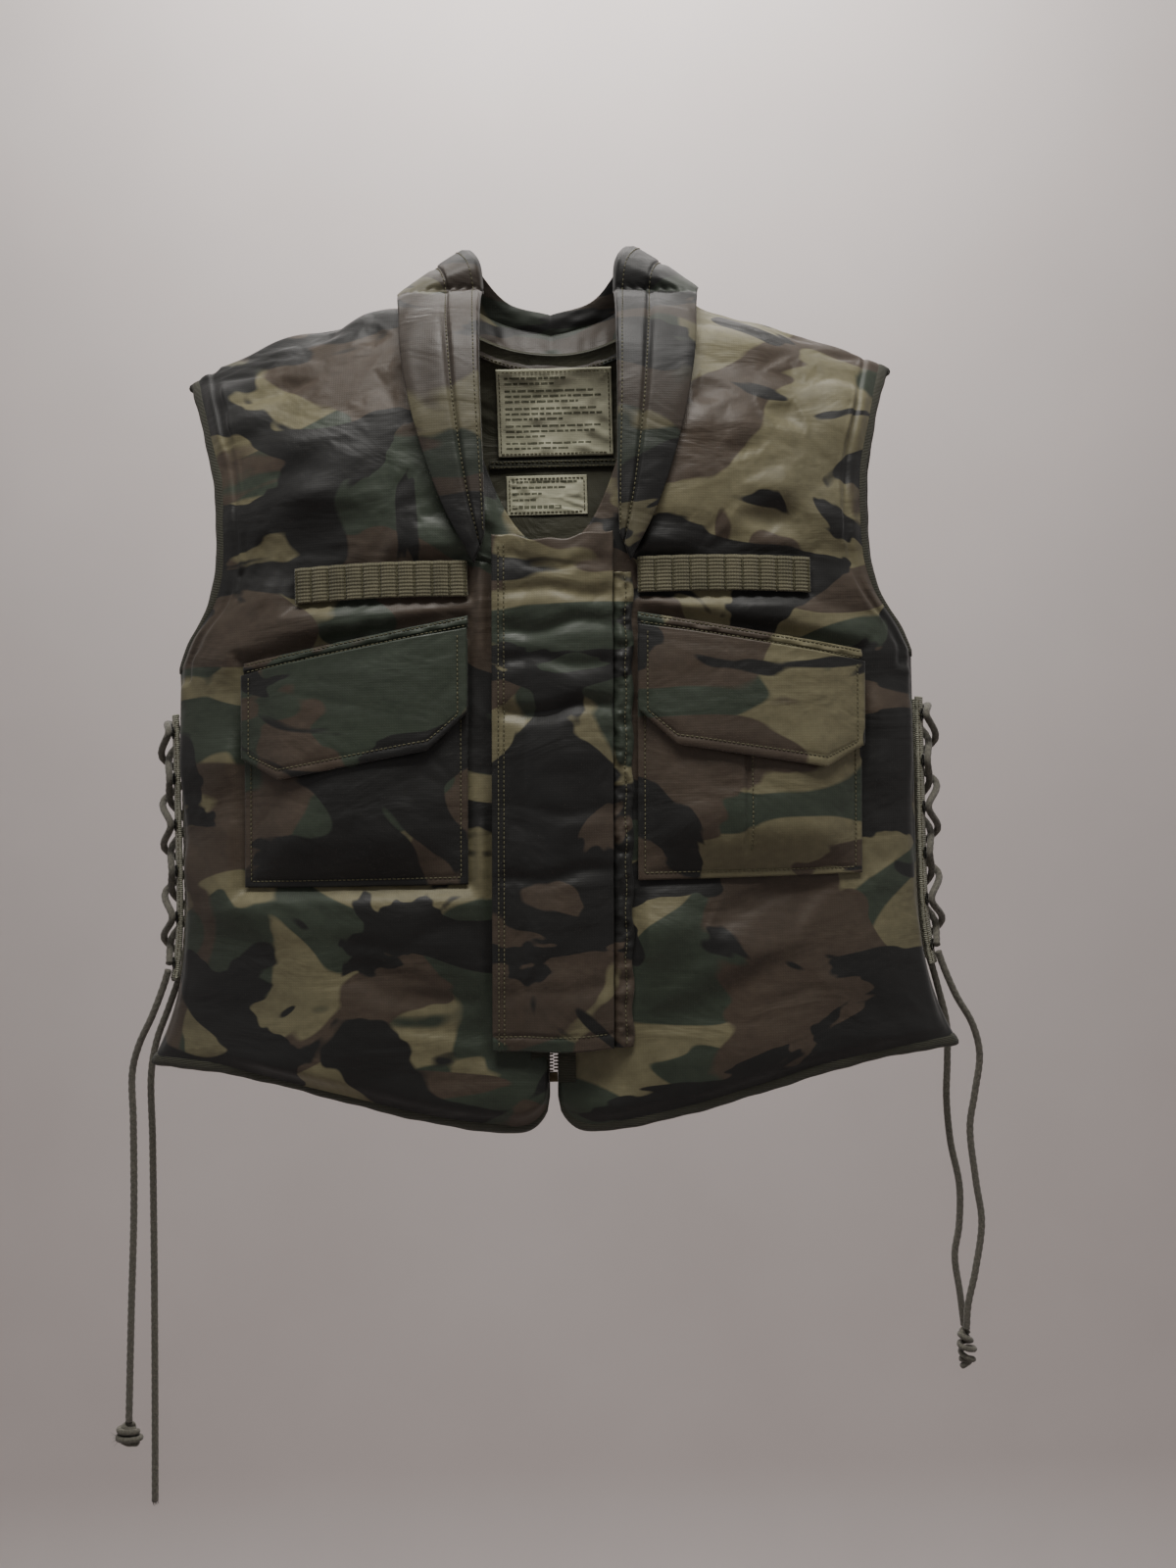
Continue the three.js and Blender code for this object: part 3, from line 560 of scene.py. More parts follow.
def plain_cloth(name, dark, light, scale=900, roughness=0.85):
    n = Nodes(name, dark, roughness)
    n.colour(n.mix(n.range(n.noise(n.place, scale, 2), 0.0, 1.0), dark, light))
    n.bump([(n.noise(n.place, scale, 2), 0.7, 0.0005)])
    return n.material


def zip_brass():
    n = Nodes("aged_brass", (0.16, 0.12, 0.05), 0.38, metallic=0.9)
    worn = n.range(n.noise(n.place, 120, 4), 0.0, 1.0)
    n.colour(n.mix(worn, (0.035, 0.028, 0.016), (0.13, 0.10, 0.055)))
    n.roughness(n.range(n.noise(n.place, 240, 3), 0.3, 0.55))
    n.bump([(n.noise(n.place, 500, 3), 0.3, 0.0002)])
    return n.material


LINING = lining_cloth()
CORD = cord_cloth()
THREAD = plain_cloth("thread", (0.085, 0.082, 0.045), (0.17, 0.16, 0.095))
BINDING = tape_cloth("binding_tape", (0.030, 0.031, 0.019), (0.060, 0.060, 0.036), 0.0012, "Z")
WEBBING = tape_cloth("webbing", (0.075, 0.071, 0.040), (0.185, 0.172, 0.105), 0.0022, "X", 0.7)
LACING_TAPE = tape_cloth("lacing_tape", (0.20, 0.20, 0.15), (0.40, 0.40, 0.31), 0.0016, "Z", 0.9)
LABEL = label_cloth()
PRINT = plain_cloth("label_print", (0.10, 0.11, 0.07), (0.20, 0.20, 0.13))
LOOPS = plain_cloth("grip_loops", (0.032, 0.034, 0.020), (0.085, 0.085, 0.055), 1400)
BRASS = zip_brass()
BLACK_METAL = Nodes("eyelet_finish", (0.03, 0.03, 0.026), 0.35, metallic=0.8).material


# ---------------------------------------------------------------- camera, light and stage
CAMERA_X = 30.5
CAMERA_Z = -372.9
CAMERA_DISTANCE = 970
CAMERA_ROLL = math.radians(1.4)


def make_camera():
    data = bpy.data.cameras.new("camera")
    data.lens = 28.04
    data.sensor_width = 36
    made = bpy.data.objects.new("camera", data)
    bpy.context.scene.collection.objects.link(made)
    right = (math.cos(CAMERA_ROLL), 0, -math.sin(CAMERA_ROLL))
    up = (math.sin(CAMERA_ROLL), 0, math.cos(CAMERA_ROLL))
    turn = Matrix((right, up, (0, -1, 0))).transposed().to_4x4()
    turn.translation = (CAMERA_X * MM, -CAMERA_DISTANCE * MM, CAMERA_Z * MM)
    made.matrix_world = turn
    bpy.context.scene.camera = made


def area_light(name, place, target, size, power, colour):
    data = bpy.data.lights.new(name, "AREA")
    data.shape = "RECTANGLE"
    data.size, data.size_y = size
    data.energy = power
    data.color = colour
    made = bpy.data.objects.new(name, data)
    bpy.context.scene.collection.objects.link(made)
    made.location = place
    direction = np.array(target) - np.array(place)
    made.rotation_euler = Vector(direction).to_track_quat("-Z", "Y").to_euler()


def make_stage():
    """Pale floor that curves up into a wall behind the vest."""
    floor_z, wall_y, bend = -3.3, 3.2, 0.6
    line = [(-6.0, floor_z)]
    for k in range(13):
        angle = math.pi / 2 * k / 12
        line.append((wall_y - bend + bend * math.sin(angle), floor_z + bend - bend * math.cos(angle)))
    line.append((wall_y, 4.2))
    points = [[x / MM, y / MM, z / MM] for x in (-6.0, 6.0) for y, z in line]
    count = len(line)
    faces = [[k, k + 1, count + k + 1, count + k] for k in range(count - 1)]
    n = Nodes("stage_paint", (0.70, 0.645, 0.63), 0.9)
    n.colour(n.mix(n.range(n.noise(n.place, 1.5, 3), 0, 1), (0.68, 0.625, 0.61), (0.72, 0.665, 0.65)))
    made = make("stage", points, faces, [n.material])
    made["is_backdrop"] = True


make_camera()
make_stage()
area_light("key", (0.05, -0.75, 1.25), (0.0, 0.02, -0.25), (1.3, 0.5), 30, (1.0, 0.975, 0.94))
area_light("wall_wash", (0.0, 1.6, 3.4), (0.0, 3.2, 1.5), (3.0, 0.6), 150, (1.0, 0.97, 0.94))
area_light("fill_left", (-1.7, -1.3, 0.1), (0, 0, -0.4), (1.2, 1.6), 1.6, (0.97, 0.97, 1.0))
area_light("fill_right", (1.7, -1.3, 0.1), (0, 0, -0.4), (1.2, 1.6), 1.6, (1.0, 0.96, 0.95))
area_light("back_fill", (0.0, 2.2, 0.9), (0, 0, -0.3), (2.0, 2.0), 8, (1, 1, 1))
world = bpy.data.worlds.new("room")
bpy.context.scene.world = world
world.use_nodes = True
world.node_tree.nodes["Background"].inputs[0].default_value = (0.86, 0.80, 0.79, 1)
world.node_tree.nodes["Background"].inputs[1].default_value = 0.21


def stands_for(made, nodes, body="root"):
    """Hides the CAD nodes a piece replaces and attaches the piece to its body."""
    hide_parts(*nodes)
    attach(made, body)


# ---------------------------------------------------------------- cords and their knots
CORD_RADIUS = 2.75
PLAITS = 6
PLAIT_PITCH = 9.0
EYELETS = 6
EYELET_OFFSET = 15.27
STRIP_LIFT = 3.65
CROSS_LIFT = 10.15
LACE_ENDS = {
    "right_front": [(-304, -17, -521), (-314, -16, -545), (-326, -13, -568), (-333, -10, -590),
                    (-334, -8, -630), (-336, -6, -700), (-340, -6, -780), (-344, -6, -867)],
    "right_back": [(-303, 16, -521), (-312, 15, -545), (-321, 12, -570), (-325, 9, -595),
                   (-325, 8, -650), (-326, 8, -740), (-328, 8, -850), (-330, 8, -938)],
    "left_front": [(304, -17, -521), (314, -16, -545), (327, -13, -568), (333, -10, -592),
                   (329, -8, -624), (325, -7, -650), (329, -6, -694), (333, -5, -726),
                   (327, -5, -765), (321, -4, -792), (319.5, -3.2, -811)],
    "left_back": [(303, 16, -521), (309, 15, -545), (314, 12, -572), (313, 9, -601),
                  (311, 7, -630), (313, 6, -665), (319, 5, -700), (318, 5, -732),
                  (314, 5, -756), (317, 4, -785), (319.5, 3.2, -811)],
}


def on_side(side, y, z, lift):
    """Point beside the body at a depth y, lifted out from the side."""
    depth = FRONT_DEPTH if y < 0 else BACK_DEPTH

    def x_at(yy):
        return half_width_at(z) * (1 - abs(yy / depth) ** 2) ** (1 / SECTION_POWER)

    slope = (x_at(y + 1) - x_at(y - 1)) / 2
    way = np.array([1.0, -slope, 0.0])
    point = np.array([x_at(y), y, z]) + way / np.linalg.norm(way) * lift
    return point * [side, 1, 1]


def braid(radius, count=18):
    """Section of a braided cord: strands bulge and wind both ways."""
    def section(k, s):
        angle = 2 * math.pi * k / count
        one = math.sin(PLAITS * angle / 2 + 2 * math.pi * s / PLAIT_PITCH * 1.5)
        other = math.sin(PLAITS * angle / 2 - 2 * math.pi * s / PLAIT_PITCH * 1.5)
        r = radius * (0.94 + 0.07 * max(one, other))
        return r * math.cos(angle), r * math.sin(angle)
    section.count = count
    return section


def make_cord(name, points, step=1.1):
    path = spline(points, step)
    made = tube(f"{name}_braid", path, braid(CORD_RADIUS), [CORD])
    stands_for(made, [name])
    return made, path


def lace_end(name):
    side_name, place = name.split("_")
    side = SIDES[side_name]
    y = -EYELET_OFFSET if place == "front" else EYELET_OFFSET
    start = on_side(side, y, -505 - 2 * CORD_RADIUS - 2 + CORD_RADIUS, STRIP_LIFT)
    made, path = make_cord(f"{name}_lace_end", [start, *LACE_ENDS[name]])
    return made, path, start


def knot_of(name, centre, radii, turns, seed):
    """Cord wound into a tight lump that fills an ellipsoid, so each strand shows."""
    random = np.random.default_rng(seed)
    points = []
    strand = 0.82 * CORD_RADIUS
    inner = np.array(radii) - strand
    tilt = random.uniform(0, 1, 3)
    for k in range(turns * 14 + 1):
        t = k / 14
        a = 2 * math.pi * t
        b = math.pi * (0.12 + 0.76 * (0.5 - 0.5 * math.cos(math.pi * t / turns)))
        lift = 0.80 + 0.20 * math.sin(5.0 * t + tilt[0])
        points.append(np.array(centre) + inner * lift * np.array(
            [math.cos(a + tilt[1]) * math.sin(b), math.sin(a + tilt[2]) * math.sin(b), math.cos(b)]))
    return tube(name, spline(points, 1.2), braid(strand, 14), [CORD])


for end_name in LACE_ENDS:
    lace_end(end_name)


# ---------------------------------------------------------------- cloth settling
def grid_faces(columns, rows):
    step = rows + 1
    return [[i * step + j, (i + 1) * step + j, (i + 1) * step + j + 1, i * step + j + 1]
            for i in range(columns) for j in range(rows)]


def settle(grid, ways, sewn, slack, pressure=0.0, frames=16, seed=1, start=0.8):
    """Cloth simulation of one over-long layer held along its sewn lines.

    Returns the settled grid in millimetres. slack is the extra length (across, down) of the cut.
    """
    columns, rows = grid.shape[0] - 1, grid.shape[1] - 1
    ripple = smooth_noise(grid.shape[:2], (columns // 7, rows // 6), seed)
    ripple = ripple * start * (1 - sewn)
    begin = grid + ways * ripple[..., None]
    outward = (grid_ways(grid, ways.mean(axis=(0, 1))) * np.cross(
        np.gradient(grid, axis=0), np.gradient(grid, axis=1))).sum() > 0
    faces = grid_faces(columns, rows)
    piece = make("settling_layer", begin.reshape(-1, 3), faces if outward else [f[::-1] for f in faces], [])
    group = piece.vertex_groups.new(name="sewn")
    for index, weight in enumerate(sewn.ravel().tolist()):
        if weight > 0.02:
            group.add([index], weight, "REPLACE")
    piece.shape_key_add(name="Basis")
    key = piece.shape_key_add(name="cut")
    centre = grid.reshape(-1, 3).mean(axis=0)
    cut = (begin - centre) * [1 + slack[0], 1 + slack[0], 1 + slack[1]] + centre
    key.data.foreach_set("co", (cut * MM).ravel())
    modifier = piece.modifiers.new("settle", "CLOTH")
    settings = modifier.settings
    settings.quality = 5
    settings.mass = 0.12
    settings.air_damping = 3
    settings.tension_stiffness = 12
    settings.compression_stiffness = 12
    settings.shear_stiffness = 6
    settings.bending_stiffness = 0.03
    settings.rest_shape_key = key
    settings.vertex_group_mass = "sewn"
    settings.effector_weights.gravity = 0
    if pressure:
        settings.use_pressure = True
        settings.uniform_pressure_force = pressure
    modifier.collision_settings.use_collision = False
    modifier.point_cache.frame_start = 1
    modifier.point_cache.frame_end = frames
    scene = bpy.context.scene
    for number in range(1, frames + 1):
        scene.frame_set(number)
    evaluated = piece.evaluated_get(bpy.context.evaluated_depsgraph_get())
    settled = np.empty(len(piece.data.vertices) * 3)
    evaluated.data.vertices.foreach_get("co", settled)
    scene.frame_set(1)
    bpy.data.objects.remove(piece)
    return settled.reshape(grid.shape) / MM


def eased(value, low, high):
    """Keeps value between low and high, bending softly as it nears them."""
    middle, half = (low + high) / 2, (high - low) / 2
    return middle + half * np.tanh((value - middle) / half)


def crumpled(grid, ways, sewn, slack, free, inward, outward, **options):
    """Grid moved to its settled shape, no further along its ways than inward and outward allow."""
    settled = settle(grid, ways, sewn, slack, **options)
    moved = settled - grid
    along = (moved * ways).sum(axis=2, keepdims=True)
    across = moved - along * ways
    share = free[..., None]
    return grid + ways * eased(along, -inward, outward) * share + across * 0.7 * share


def finer(grid, times):
    """Grid resampled with smooth cubic steps, times as dense each way."""
    def along_first(a):
        n = a.shape[0]
        padded_rows = np.concatenate([2 * a[:1] - a[1:2], a, 2 * a[-1:] - a[-2:-1]])
        out = []
        for k in range(n - 1):
            p0, p1, p2, p3 = padded_rows[k:k + 4]
            for step in range(times):
                t = step / times
                out.append(0.5 * (2 * p1 + (p2 - p0) * t + (2 * p0 - 5 * p1 + 4 * p2 - p3) * t * t
                                  + (3 * p1 - p0 - 3 * p2 + p3) * t ** 3))
        out.append(a[-1])
        return np.array(out)

    return along_first(along_first(grid).transpose(1, 0, 2)).transpose(1, 0, 2)


# ---------------------------------------------------------------- where things are sewn on the fronts
FLAP_HALF = 44
FLAP_TOP_Z = -189
FLAP_BOTTOM_Z = -565
FLAP_SEAM = (44.3, 58.3)
WEBBING_INNER = 62
WEBBING_LENGTH = 128
WEBBING_Z = -221
WEBBING_HALF = 13
POCKET_INNER = 62
POCKET_WIDTH = 168
POCKET_BOTTOM = -444
POCKET_BULGE = 15
ARMHOLE_BAND = 19
BINDING_REACH = 7


def pocket_seam(u):
    return -257 - 29 * u


def offset_from_box(a, b, low, high):
    """Distance outside a box in a plane, below 0 inside it."""
    gap_a = np.maximum(low[0] - a, a - high[0])
    gap_b = np.maximum(low[1] - b, b - high[1])
    return np.maximum(gap_a, gap_b)


def eases(distance, reach):
    """0 at or inside a line, 1 from reach millimetres on."""
    t = np.clip(distance / reach, 0, 1)
    return t * t * (3 - 2 * t)


def sewn_on_front(x, z, side):
    """Distance outside everything that is sewn on this front, over arrays of x and z."""
    centre = CLOSURE_LEAN * np.maximum(0, np.minimum(V_NECK_Z, z) - SIDE_HEM_Z + CENTRE_HEM_DROP - HEM_CORNER)
    out = side * (x - centre)
    share = np.clip((out - POCKET_INNER) / POCKET_WIDTH, 0, 1)
    seam = -257 - 29 * share
    webbing = offset_from_box(out, z, (WEBBING_INNER, WEBBING_Z - WEBBING_HALF),
                              (WEBBING_INNER + WEBBING_LENGTH, WEBBING_Z + WEBBING_HALF))
    pocket_outer = POCKET_INNER + POCKET_WIDTH
    pocket = offset_from_box(out, z, (POCKET_INNER, POCKET_BOTTOM), (pocket_outer, 0))
    pocket = np.maximum(pocket, z - seam - 9)
    flap_edge = FLAP_SEAM[1] if side > 0 else FLAP_HALF
    flap = offset_from_box(out, z, (-60, FLAP_BOTTOM_Z), (flap_edge, FLAP_TOP_Z))
    return webbing, pocket, flap


# ---------------------------------------------------------------- panels
def surface_grids(outline, depth_at, sign, columns, rows):
    plan = grid_of(columns, rows, lambda u, v: np.array(outline(u, v)))
    spots = np.array([[[x, depth_at(x, z), z] for x, z in column] for column in plan])
    steps_u = np.gradient(spots, axis=0)
    steps_v = np.gradient(spots, axis=1)
    ways = np.cross(steps_u, steps_v)
    ways /= np.maximum(np.linalg.norm(ways, axis=2, keepdims=True), 1e-9)
    ways *= np.where(ways[..., 1:2] * sign < 0, -1, 1)
    at_crown = (np.abs(spots[..., 1]) < 1) & (np.arange(rows + 1)[None, :] == rows)
    ways[at_crown] = [0, 0, 1]
    return spots, ways


def edge_distance(spots):
    """Distances to the near, far, low and high edges of a grid, in millimetres."""
    step_u = np.linalg.norm(np.diff(spots, axis=0), axis=2)
    step_v = np.linalg.norm(np.diff(spots, axis=1), axis=2)
    run_u = np.concatenate([np.zeros((1, spots.shape[1])), np.cumsum(step_u, axis=0)])
    run_v = np.concatenate([np.zeros((spots.shape[0], 1)), np.cumsum(step_v, axis=1)], axis=1)
    return run_u, run_u[-1:] - run_u, run_v, run_v[:, -1:] - run_v


def held_clear(points, sign):
    """Keeps a front ahead of the shoulder seam and the back behind it."""
    points = points.copy()
    if sign < 0:
        points[..., 1] = np.minimum(points[..., 1], -0.3)
    else:
        points[..., 1] = np.maximum(points[..., 1], 0.3)
    return points


def inner_face(spots, ways, edge, sign, seed):
    """Quilted lining: padding swells it between its edge seams."""
    rise = 2.6 * (1 - eases(edge, 26))
    shape = spots.shape[:2]
    wrinkle = smooth_noise(shape, (9, 26), seed) + 0.6 * smooth_noise(shape, (22, 60), seed + 1)
    depth = PANEL_THICK - rise + 0.9 * wrinkle * eases(edge, 30)
    return held_clear(spots - ways * depth[..., None], sign)


def front_panel(name, side, seed, camo):
    spots, ways = surface_grids(front_outline(side), front_y, -1, 84, 140)
    near, far, low, high = edge_distance(spots)
    x, z = spots[..., 0], spots[..., 2]
    armhole = np.where(z > UNDERARM_Z - 12, far, 1e3)
    edge = np.minimum(np.minimum(near, far), np.minimum(low, high))
    webbing, pocket, flap = sewn_on_front(x, z, side)
    sewn = np.zeros(edge.shape)
    band = (np.abs(armhole - ARMHOLE_BAND) < 2.2) | (edge < 3)
    sewn[band | (np.abs(webbing) < 3) | (np.abs(pocket) < 3) | (np.abs(flap) < 3)] = 1.0
    sewn[(webbing < -3) | (pocket < -12) | (flap < -12)] = 0.6
    fixed = np.minimum(np.minimum(webbing, pocket), flap)
    free = eases(edge - 2, 14) * eases(fixed - 1, 11) * np.where(armhole < 24, 0.45, 1.0)
    pinch = -3.2 * (1 - eases(edge, 16)) - 1.6 * np.exp(-((armhole - ARMHOLE_BAND) / 2.2) ** 2)
    rolls = 6.5 * smooth_noise(edge.shape, (3, 13), seed + 3)
    rolls = rolls + 3.6 * smooth_noise(edge.shape, (6, 26), seed + 4)
    drift = 4.5 * smooth_noise(edge.shape, (6, 6), seed + 5)
    strength = 2.4 * np.clip(0.45 + smooth_noise(edge.shape, (7, 9), seed + 6), 0, 1)
    fan = (x + 0.35 * side * (z - WEBBING_Z)) / 3.3
    pulls = strength * np.exp(-np.maximum(webbing, 0) / 27) * np.sin(fan + drift)
    shape = spots + ways * ((2.0 + rolls + pulls) * free)[..., None]
    settled = crumpled(shape, ways, sewn, (0.06, 0.15), free, 6.0, 9.0, pressure=2.6, seed=seed, frames=22)
    sink = -1.1 * np.exp(-(np.minimum(np.abs(webbing), np.abs(pocket)) / 2.5) ** 2)
    outer = held_clear(settled + ways * (pinch + sink)[..., None], -1)
    inner = inner_face(spots, ways, edge, -1, seed + 9)
    made = sheet_between(name, finer(outer, 2), finer(inner, 2), [camo, LINING], (0, 1, 1))
    prefix = "right_front" if side < 0 else "left_front"
    stands_for(made, [f"{prefix}_{layer}" for layer in ("cover", "filler", "lining")])
    return spots, ways


def back_panel(name, seed, camo):
    spots, ways = surface_grids(back_outline(), back_y, 1, 130, 120)
    near, far, low, high = edge_distance(spots)
    edge = np.minimum(np.minimum(near, far), np.minimum(low, high))
    z = spots[..., 2]
    armhole = np.where(z > UNDERARM_Z - 12, np.minimum(near, far), 1e3)
    sewn = np.zeros(edge.shape)
    sewn[(edge < 3) | (np.abs(armhole - ARMHOLE_BAND) < 2.2)] = 1.0
    free = eases(edge - 2, 16) * np.where(armhole < 24, 0.45, 1.0)
    pinch = -3.2 * (1 - eases(edge, 16)) - 1.6 * np.exp(-((armhole - ARMHOLE_BAND) / 2.2) ** 2)
    rolls = 5.5 * smooth_noise(edge.shape, (5, 13), seed + 3)
    rolls = rolls + 3.0 * smooth_noise(edge.shape, (10, 26), seed + 4)
    shape = spots + ways * ((1.5 + rolls) * free)[..., None]
    settled = crumpled(shape, ways, sewn, (0.05, 0.11), free, 6.0, 7.5, pressure=2.6, seed=seed, frames=18)
    outer = held_clear(settled + ways * pinch[..., None], 1)
    inner = inner_face(spots, ways, edge, 1, seed + 9)
    made = sheet_between(name, finer(outer, 2), finer(inner, 2), [camo, LINING], (0, 1, 1))
    stands_for(made, ["back_cover", "back_filler", "back_lining"])
    return spots, ways


CAMO_RIGHT = camouflage("camouflage_right_front", (0.31, 0.0, 0.52))
CAMO_LEFT = camouflage("camouflage_left_front", (2.13, 0.6, 0.17))
CAMO_BACK = camouflage("camouflage_back", (4.4, 1.9, 0.83))
# Collar copy darkened as painted shade: 0.6 over its whole colour and -0.045 for more dark blotches; the neck
# stand uses it too.
CAMO_COLLAR_PAINTED_SHADE = camouflage("camouflage_collar_painted_shade", (1.27, 2.2, 1.91), 0.6, -0.045)
CAMO_FLAP = camouflage("camouflage_flap", (3.6, 0.3, 2.65))
CAMO_POCKET = camouflage("camouflage_pocket", (5.2, 3.4, 1.05))

right_spots, right_ways = front_panel("right_front_panel", -1, 11, CAMO_RIGHT)
left_spots, left_ways = front_panel("left_front_panel", 1, 23, CAMO_LEFT)
back_spots, back_ways = back_panel("back_panel", 37, CAMO_BACK)


# ---------------------------------------------------------------- bindings
def rounded_binding(name, spots, aways, ways):
    """Folded tape round a panel's pinched edge, its profile a flattened loop."""
    reach, thin = BINDING_REACH, 0.9
    outside = [(-reach, -2.6), (-4, -2.0), (0, -2.3), (2.4, -3.8), (3.3, -6.4), (2.4, -8.8), (0, -10.2),
               (-4, -10.4), (-reach, -9.9)]
    inside = [(-reach, -9.9 + thin), (-4, -10.4 + thin), (0.4, -9.0), (1.8, -6.4), (0.4, -3.7),
              (-4, -2.0 - thin), (-reach, -2.6 - thin)]
    loop = outside + inside
    distance = np.concatenate([[0], np.cumsum(np.linalg.norm(np.diff(spots, axis=0), axis=1))])
    points = []
    for spot, away, way, s in zip(spots, aways, ways, distance):
        wobble = 0.35 * math.sin(s / 9) + 0.2 * math.sin(s / 3.7)
        points += [spot + away * (a + wobble * (0.3 if a < -3 else 1)) + way * b for a, b in loop]
    count = len(loop)
    faces = []
    for r in range(len(spots) - 1):
        for k in range(count):
            n = (k + 1) % count
            faces.append([r * count + k, r * count + n, (r + 1) * count + n, (r + 1) * count + k])
    last = (len(spots) - 1) * count
    faces += [list(range(count))[::-1], list(range(last, last + count))]
    made = make(f"{name}_fold", points, faces, [BINDING])
    stands_for(made, [name])
    return made


def edge_run(spots, ways, own, inner):
    """Points, outward directions and face directions along one edge of a grid."""
    away = own(spots) - inner(spots)
    way = own(ways)
    away = away - way * (away * way).sum(axis=1, keepdims=True)
    away /= np.maximum(np.linalg.norm(away, axis=1, keepdims=True), 1e-9)
    return own(spots), away, way


for side_name, (spots, ways) in {"right": (right_spots, right_ways), "left": (left_spots, left_ways)}.items():
    first = int(np.argmax(spots[-1, :, 2] > UNDERARM_Z - 4))
    run = edge_run(spots, ways, lambda g: g[-1, first:], lambda g: g[-3, first:])
    rounded_binding(f"{side_name}_front_armhole_binding", *run)
    run = edge_run(spots, ways, lambda g: g[:, 0], lambda g: g[:, 2])
    rounded_binding(f"{side_name}_front_hem_binding", *run)
    own, inner = (0, 2) if side_name == "right" else (-1, -3)
    first = int(np.argmax(back_spots[own, :, 2] > UNDERARM_Z - 4))
    run = edge_run(back_spots, back_ways, lambda g: g[own, first:], lambda g: g[inner, first:])
    rounded_binding(f"{side_name}_back_armhole_binding", *run)
rounded_binding("back_hem_binding", *edge_run(back_spots, back_ways, lambda g: g[:, 0], lambda g: g[:, 2]))


# ---------------------------------------------------------------- stitches
def sample(grid, i, j):
    """Point of a grid at fractional indices."""
    i = min(max(i, 0), grid.shape[0] - 1.001)
    j = min(max(j, 0), grid.shape[1] - 1.001)
    a, b = int(i), int(j)
    s, t = i - a, j - b
    return ((grid[a, b] * (1 - s) + grid[a + 1, b] * s) * (1 - t)
            + (grid[a, b + 1] * (1 - s) + grid[a + 1, b + 1] * s) * t)


STITCH_RADIUS = 0.42
STITCH_PITCH = 3.4
STITCH_LENGTH = 2.5


def sewing(name, lines, body="root", pitch=STITCH_PITCH, length=STITCH_LENGTH, radius=STITCH_RADIUS):
    """Rows of thread stitches; each line is (points, directions off the cloth)."""
    points, faces = [], []
    for spots, ways in lines:
        spots, ways = np.asarray(spots), np.asarray(ways)
        distance = np.concatenate([[0], np.cumsum(np.linalg.norm(np.diff(spots, axis=0), axis=1))])
        for start in np.arange(0.4, distance[-1] - length, pitch):
            ends = []
            for s in (start, start + length / 2, start + length):
                ends.append([np.interp(s, distance, spots[:, k]) for k in range(3)])
            way = np.array([np.interp(start, distance, ways[:, k]) for k in range(3)])
            way /= np.linalg.norm(way)
            a, m, b = np.array(ends)
            along = (b - a) / max(np.linalg.norm(b - a), 1e-6)
            across = np.cross(along, way)
            base = len(points)
            rings = [(a, -0.1, 0.5), (a + (m - a) * 0.4, 0.5, 1.0),
                     (b + (m - b) * 0.4, 0.5, 1.0), (b, -0.1, 0.5)]
            for spot, lift, wide in rings:
                for c, h in ((1, 0), (0.3, 1), (-0.3, 1), (-1, 0)):
                    rise = lift * radius + h * radius * wide
                    points.append(spot + across * c * radius * wide + way * rise)
            for r in range(3):
                for k in range(3):
                    q = base + r * 4 + k
                    faces.append([q, q + 1, q + 5, q + 4])
            faces.append([base + 3, base + 2, base + 1, base])
            faces.append([base + 12, base + 13, base + 14, base + 15])
    made = make(name, points, faces, [THREAD])
    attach(made, body)
    return made


def line_on(grid, ways, run, lift=0.15):
    """A stitch line through fractional indices (i, j) of a grid."""
    spots = np.array([sample(grid, i, j) + sample(ways, i, j) * lift for i, j in run])
    return spots, np.array([sample(ways, i, j) for i, j in run])


def uv_line(grid, ways, a, b, steps=60, lift=0.15):
    """A straight stitch line between two places given as shares (u, v)."""
    columns, rows = grid.shape[0] - 1, grid.shape[1] - 1
    run = [(lerp(a[0], b[0], t) * columns, lerp(a[1], b[1], t) * rows) for t in np.linspace(0, 1, steps)]
    return line_on(grid, ways, run, lift)


# ---------------------------------------------------------------- collar
COLLAR_THICK = 13
LAPEL_LIFT = COLLAR_THICK + 0.8
outer_x = through([(0, 0), (.15, 52), (.3, 98), (.42, 120), (.54, 115),
                   (.66, 109), (.78, 98), (.9, 79), (1, 57)])
outer_z = through([(0, -10), (.15, 0), (.3, 12), (.42, 17), (.54, -7), (.66, -56), (.78, -110), (.9, -168),
                   (1, -211)])
inner_x = through([(0, 0), (.15, 38), (.3, 62), (.42, 72), (.54, 58),
                   (.66, 53), (.78, 51), (.9, 49), (1, 49)])
inner_z = through([(0, 18), (.15, 26), (.3, 42), (.42, 54), (.54, 30),
                   (.66, -18), (.78, -80), (.9, -148), (1, -190)])
outer_y_behind = through([(0, 66), (.15, 60), (.3, 36), (.42, 2), (.54, -62)])
inner_y_behind = through([(0, 56), (.15, 50), (.3, 28), (.42, 2), (.54, -30), (.66, -64)])
facing_x = through([(0, 0), (.15, .45), (.3, .85), (.42, 1), (.54, .7), (.66, .25), (.78, .1), (1, 0)])
facing_y = through([(0, 1), (.15, .89), (.3, .5), (.42, 0), (.54, -.7), (.66, -.95), (1, -1)])


def collar_spot(u, v):
    along = abs(2 * u - 1)
    side = -1 if u < 0.5 else 1
    z = lerp(outer_z(along), inner_z(along), v)
    x = side * lerp(outer_x(along), inner_x(along), v) + centre_at(z)
    lapel_y = front_y(x, z) - LAPEL_LIFT - 5 * clamp01((0.82 - along) / 0.2)
    behind_y = lerp(outer_y_behind(along), inner_y_behind(along), v)
    return np.array([x, lerp(behind_y, lapel_y, ramp(0.47, 0.63, along)), z])


def collar_way(u, v):
    along = abs(2 * u - 1)
    side = -1 if u < 0.5 else 1
    way = np.array([side * facing_x(along), facing_y(along), 0.0])
    return way / np.linalg.norm(way)


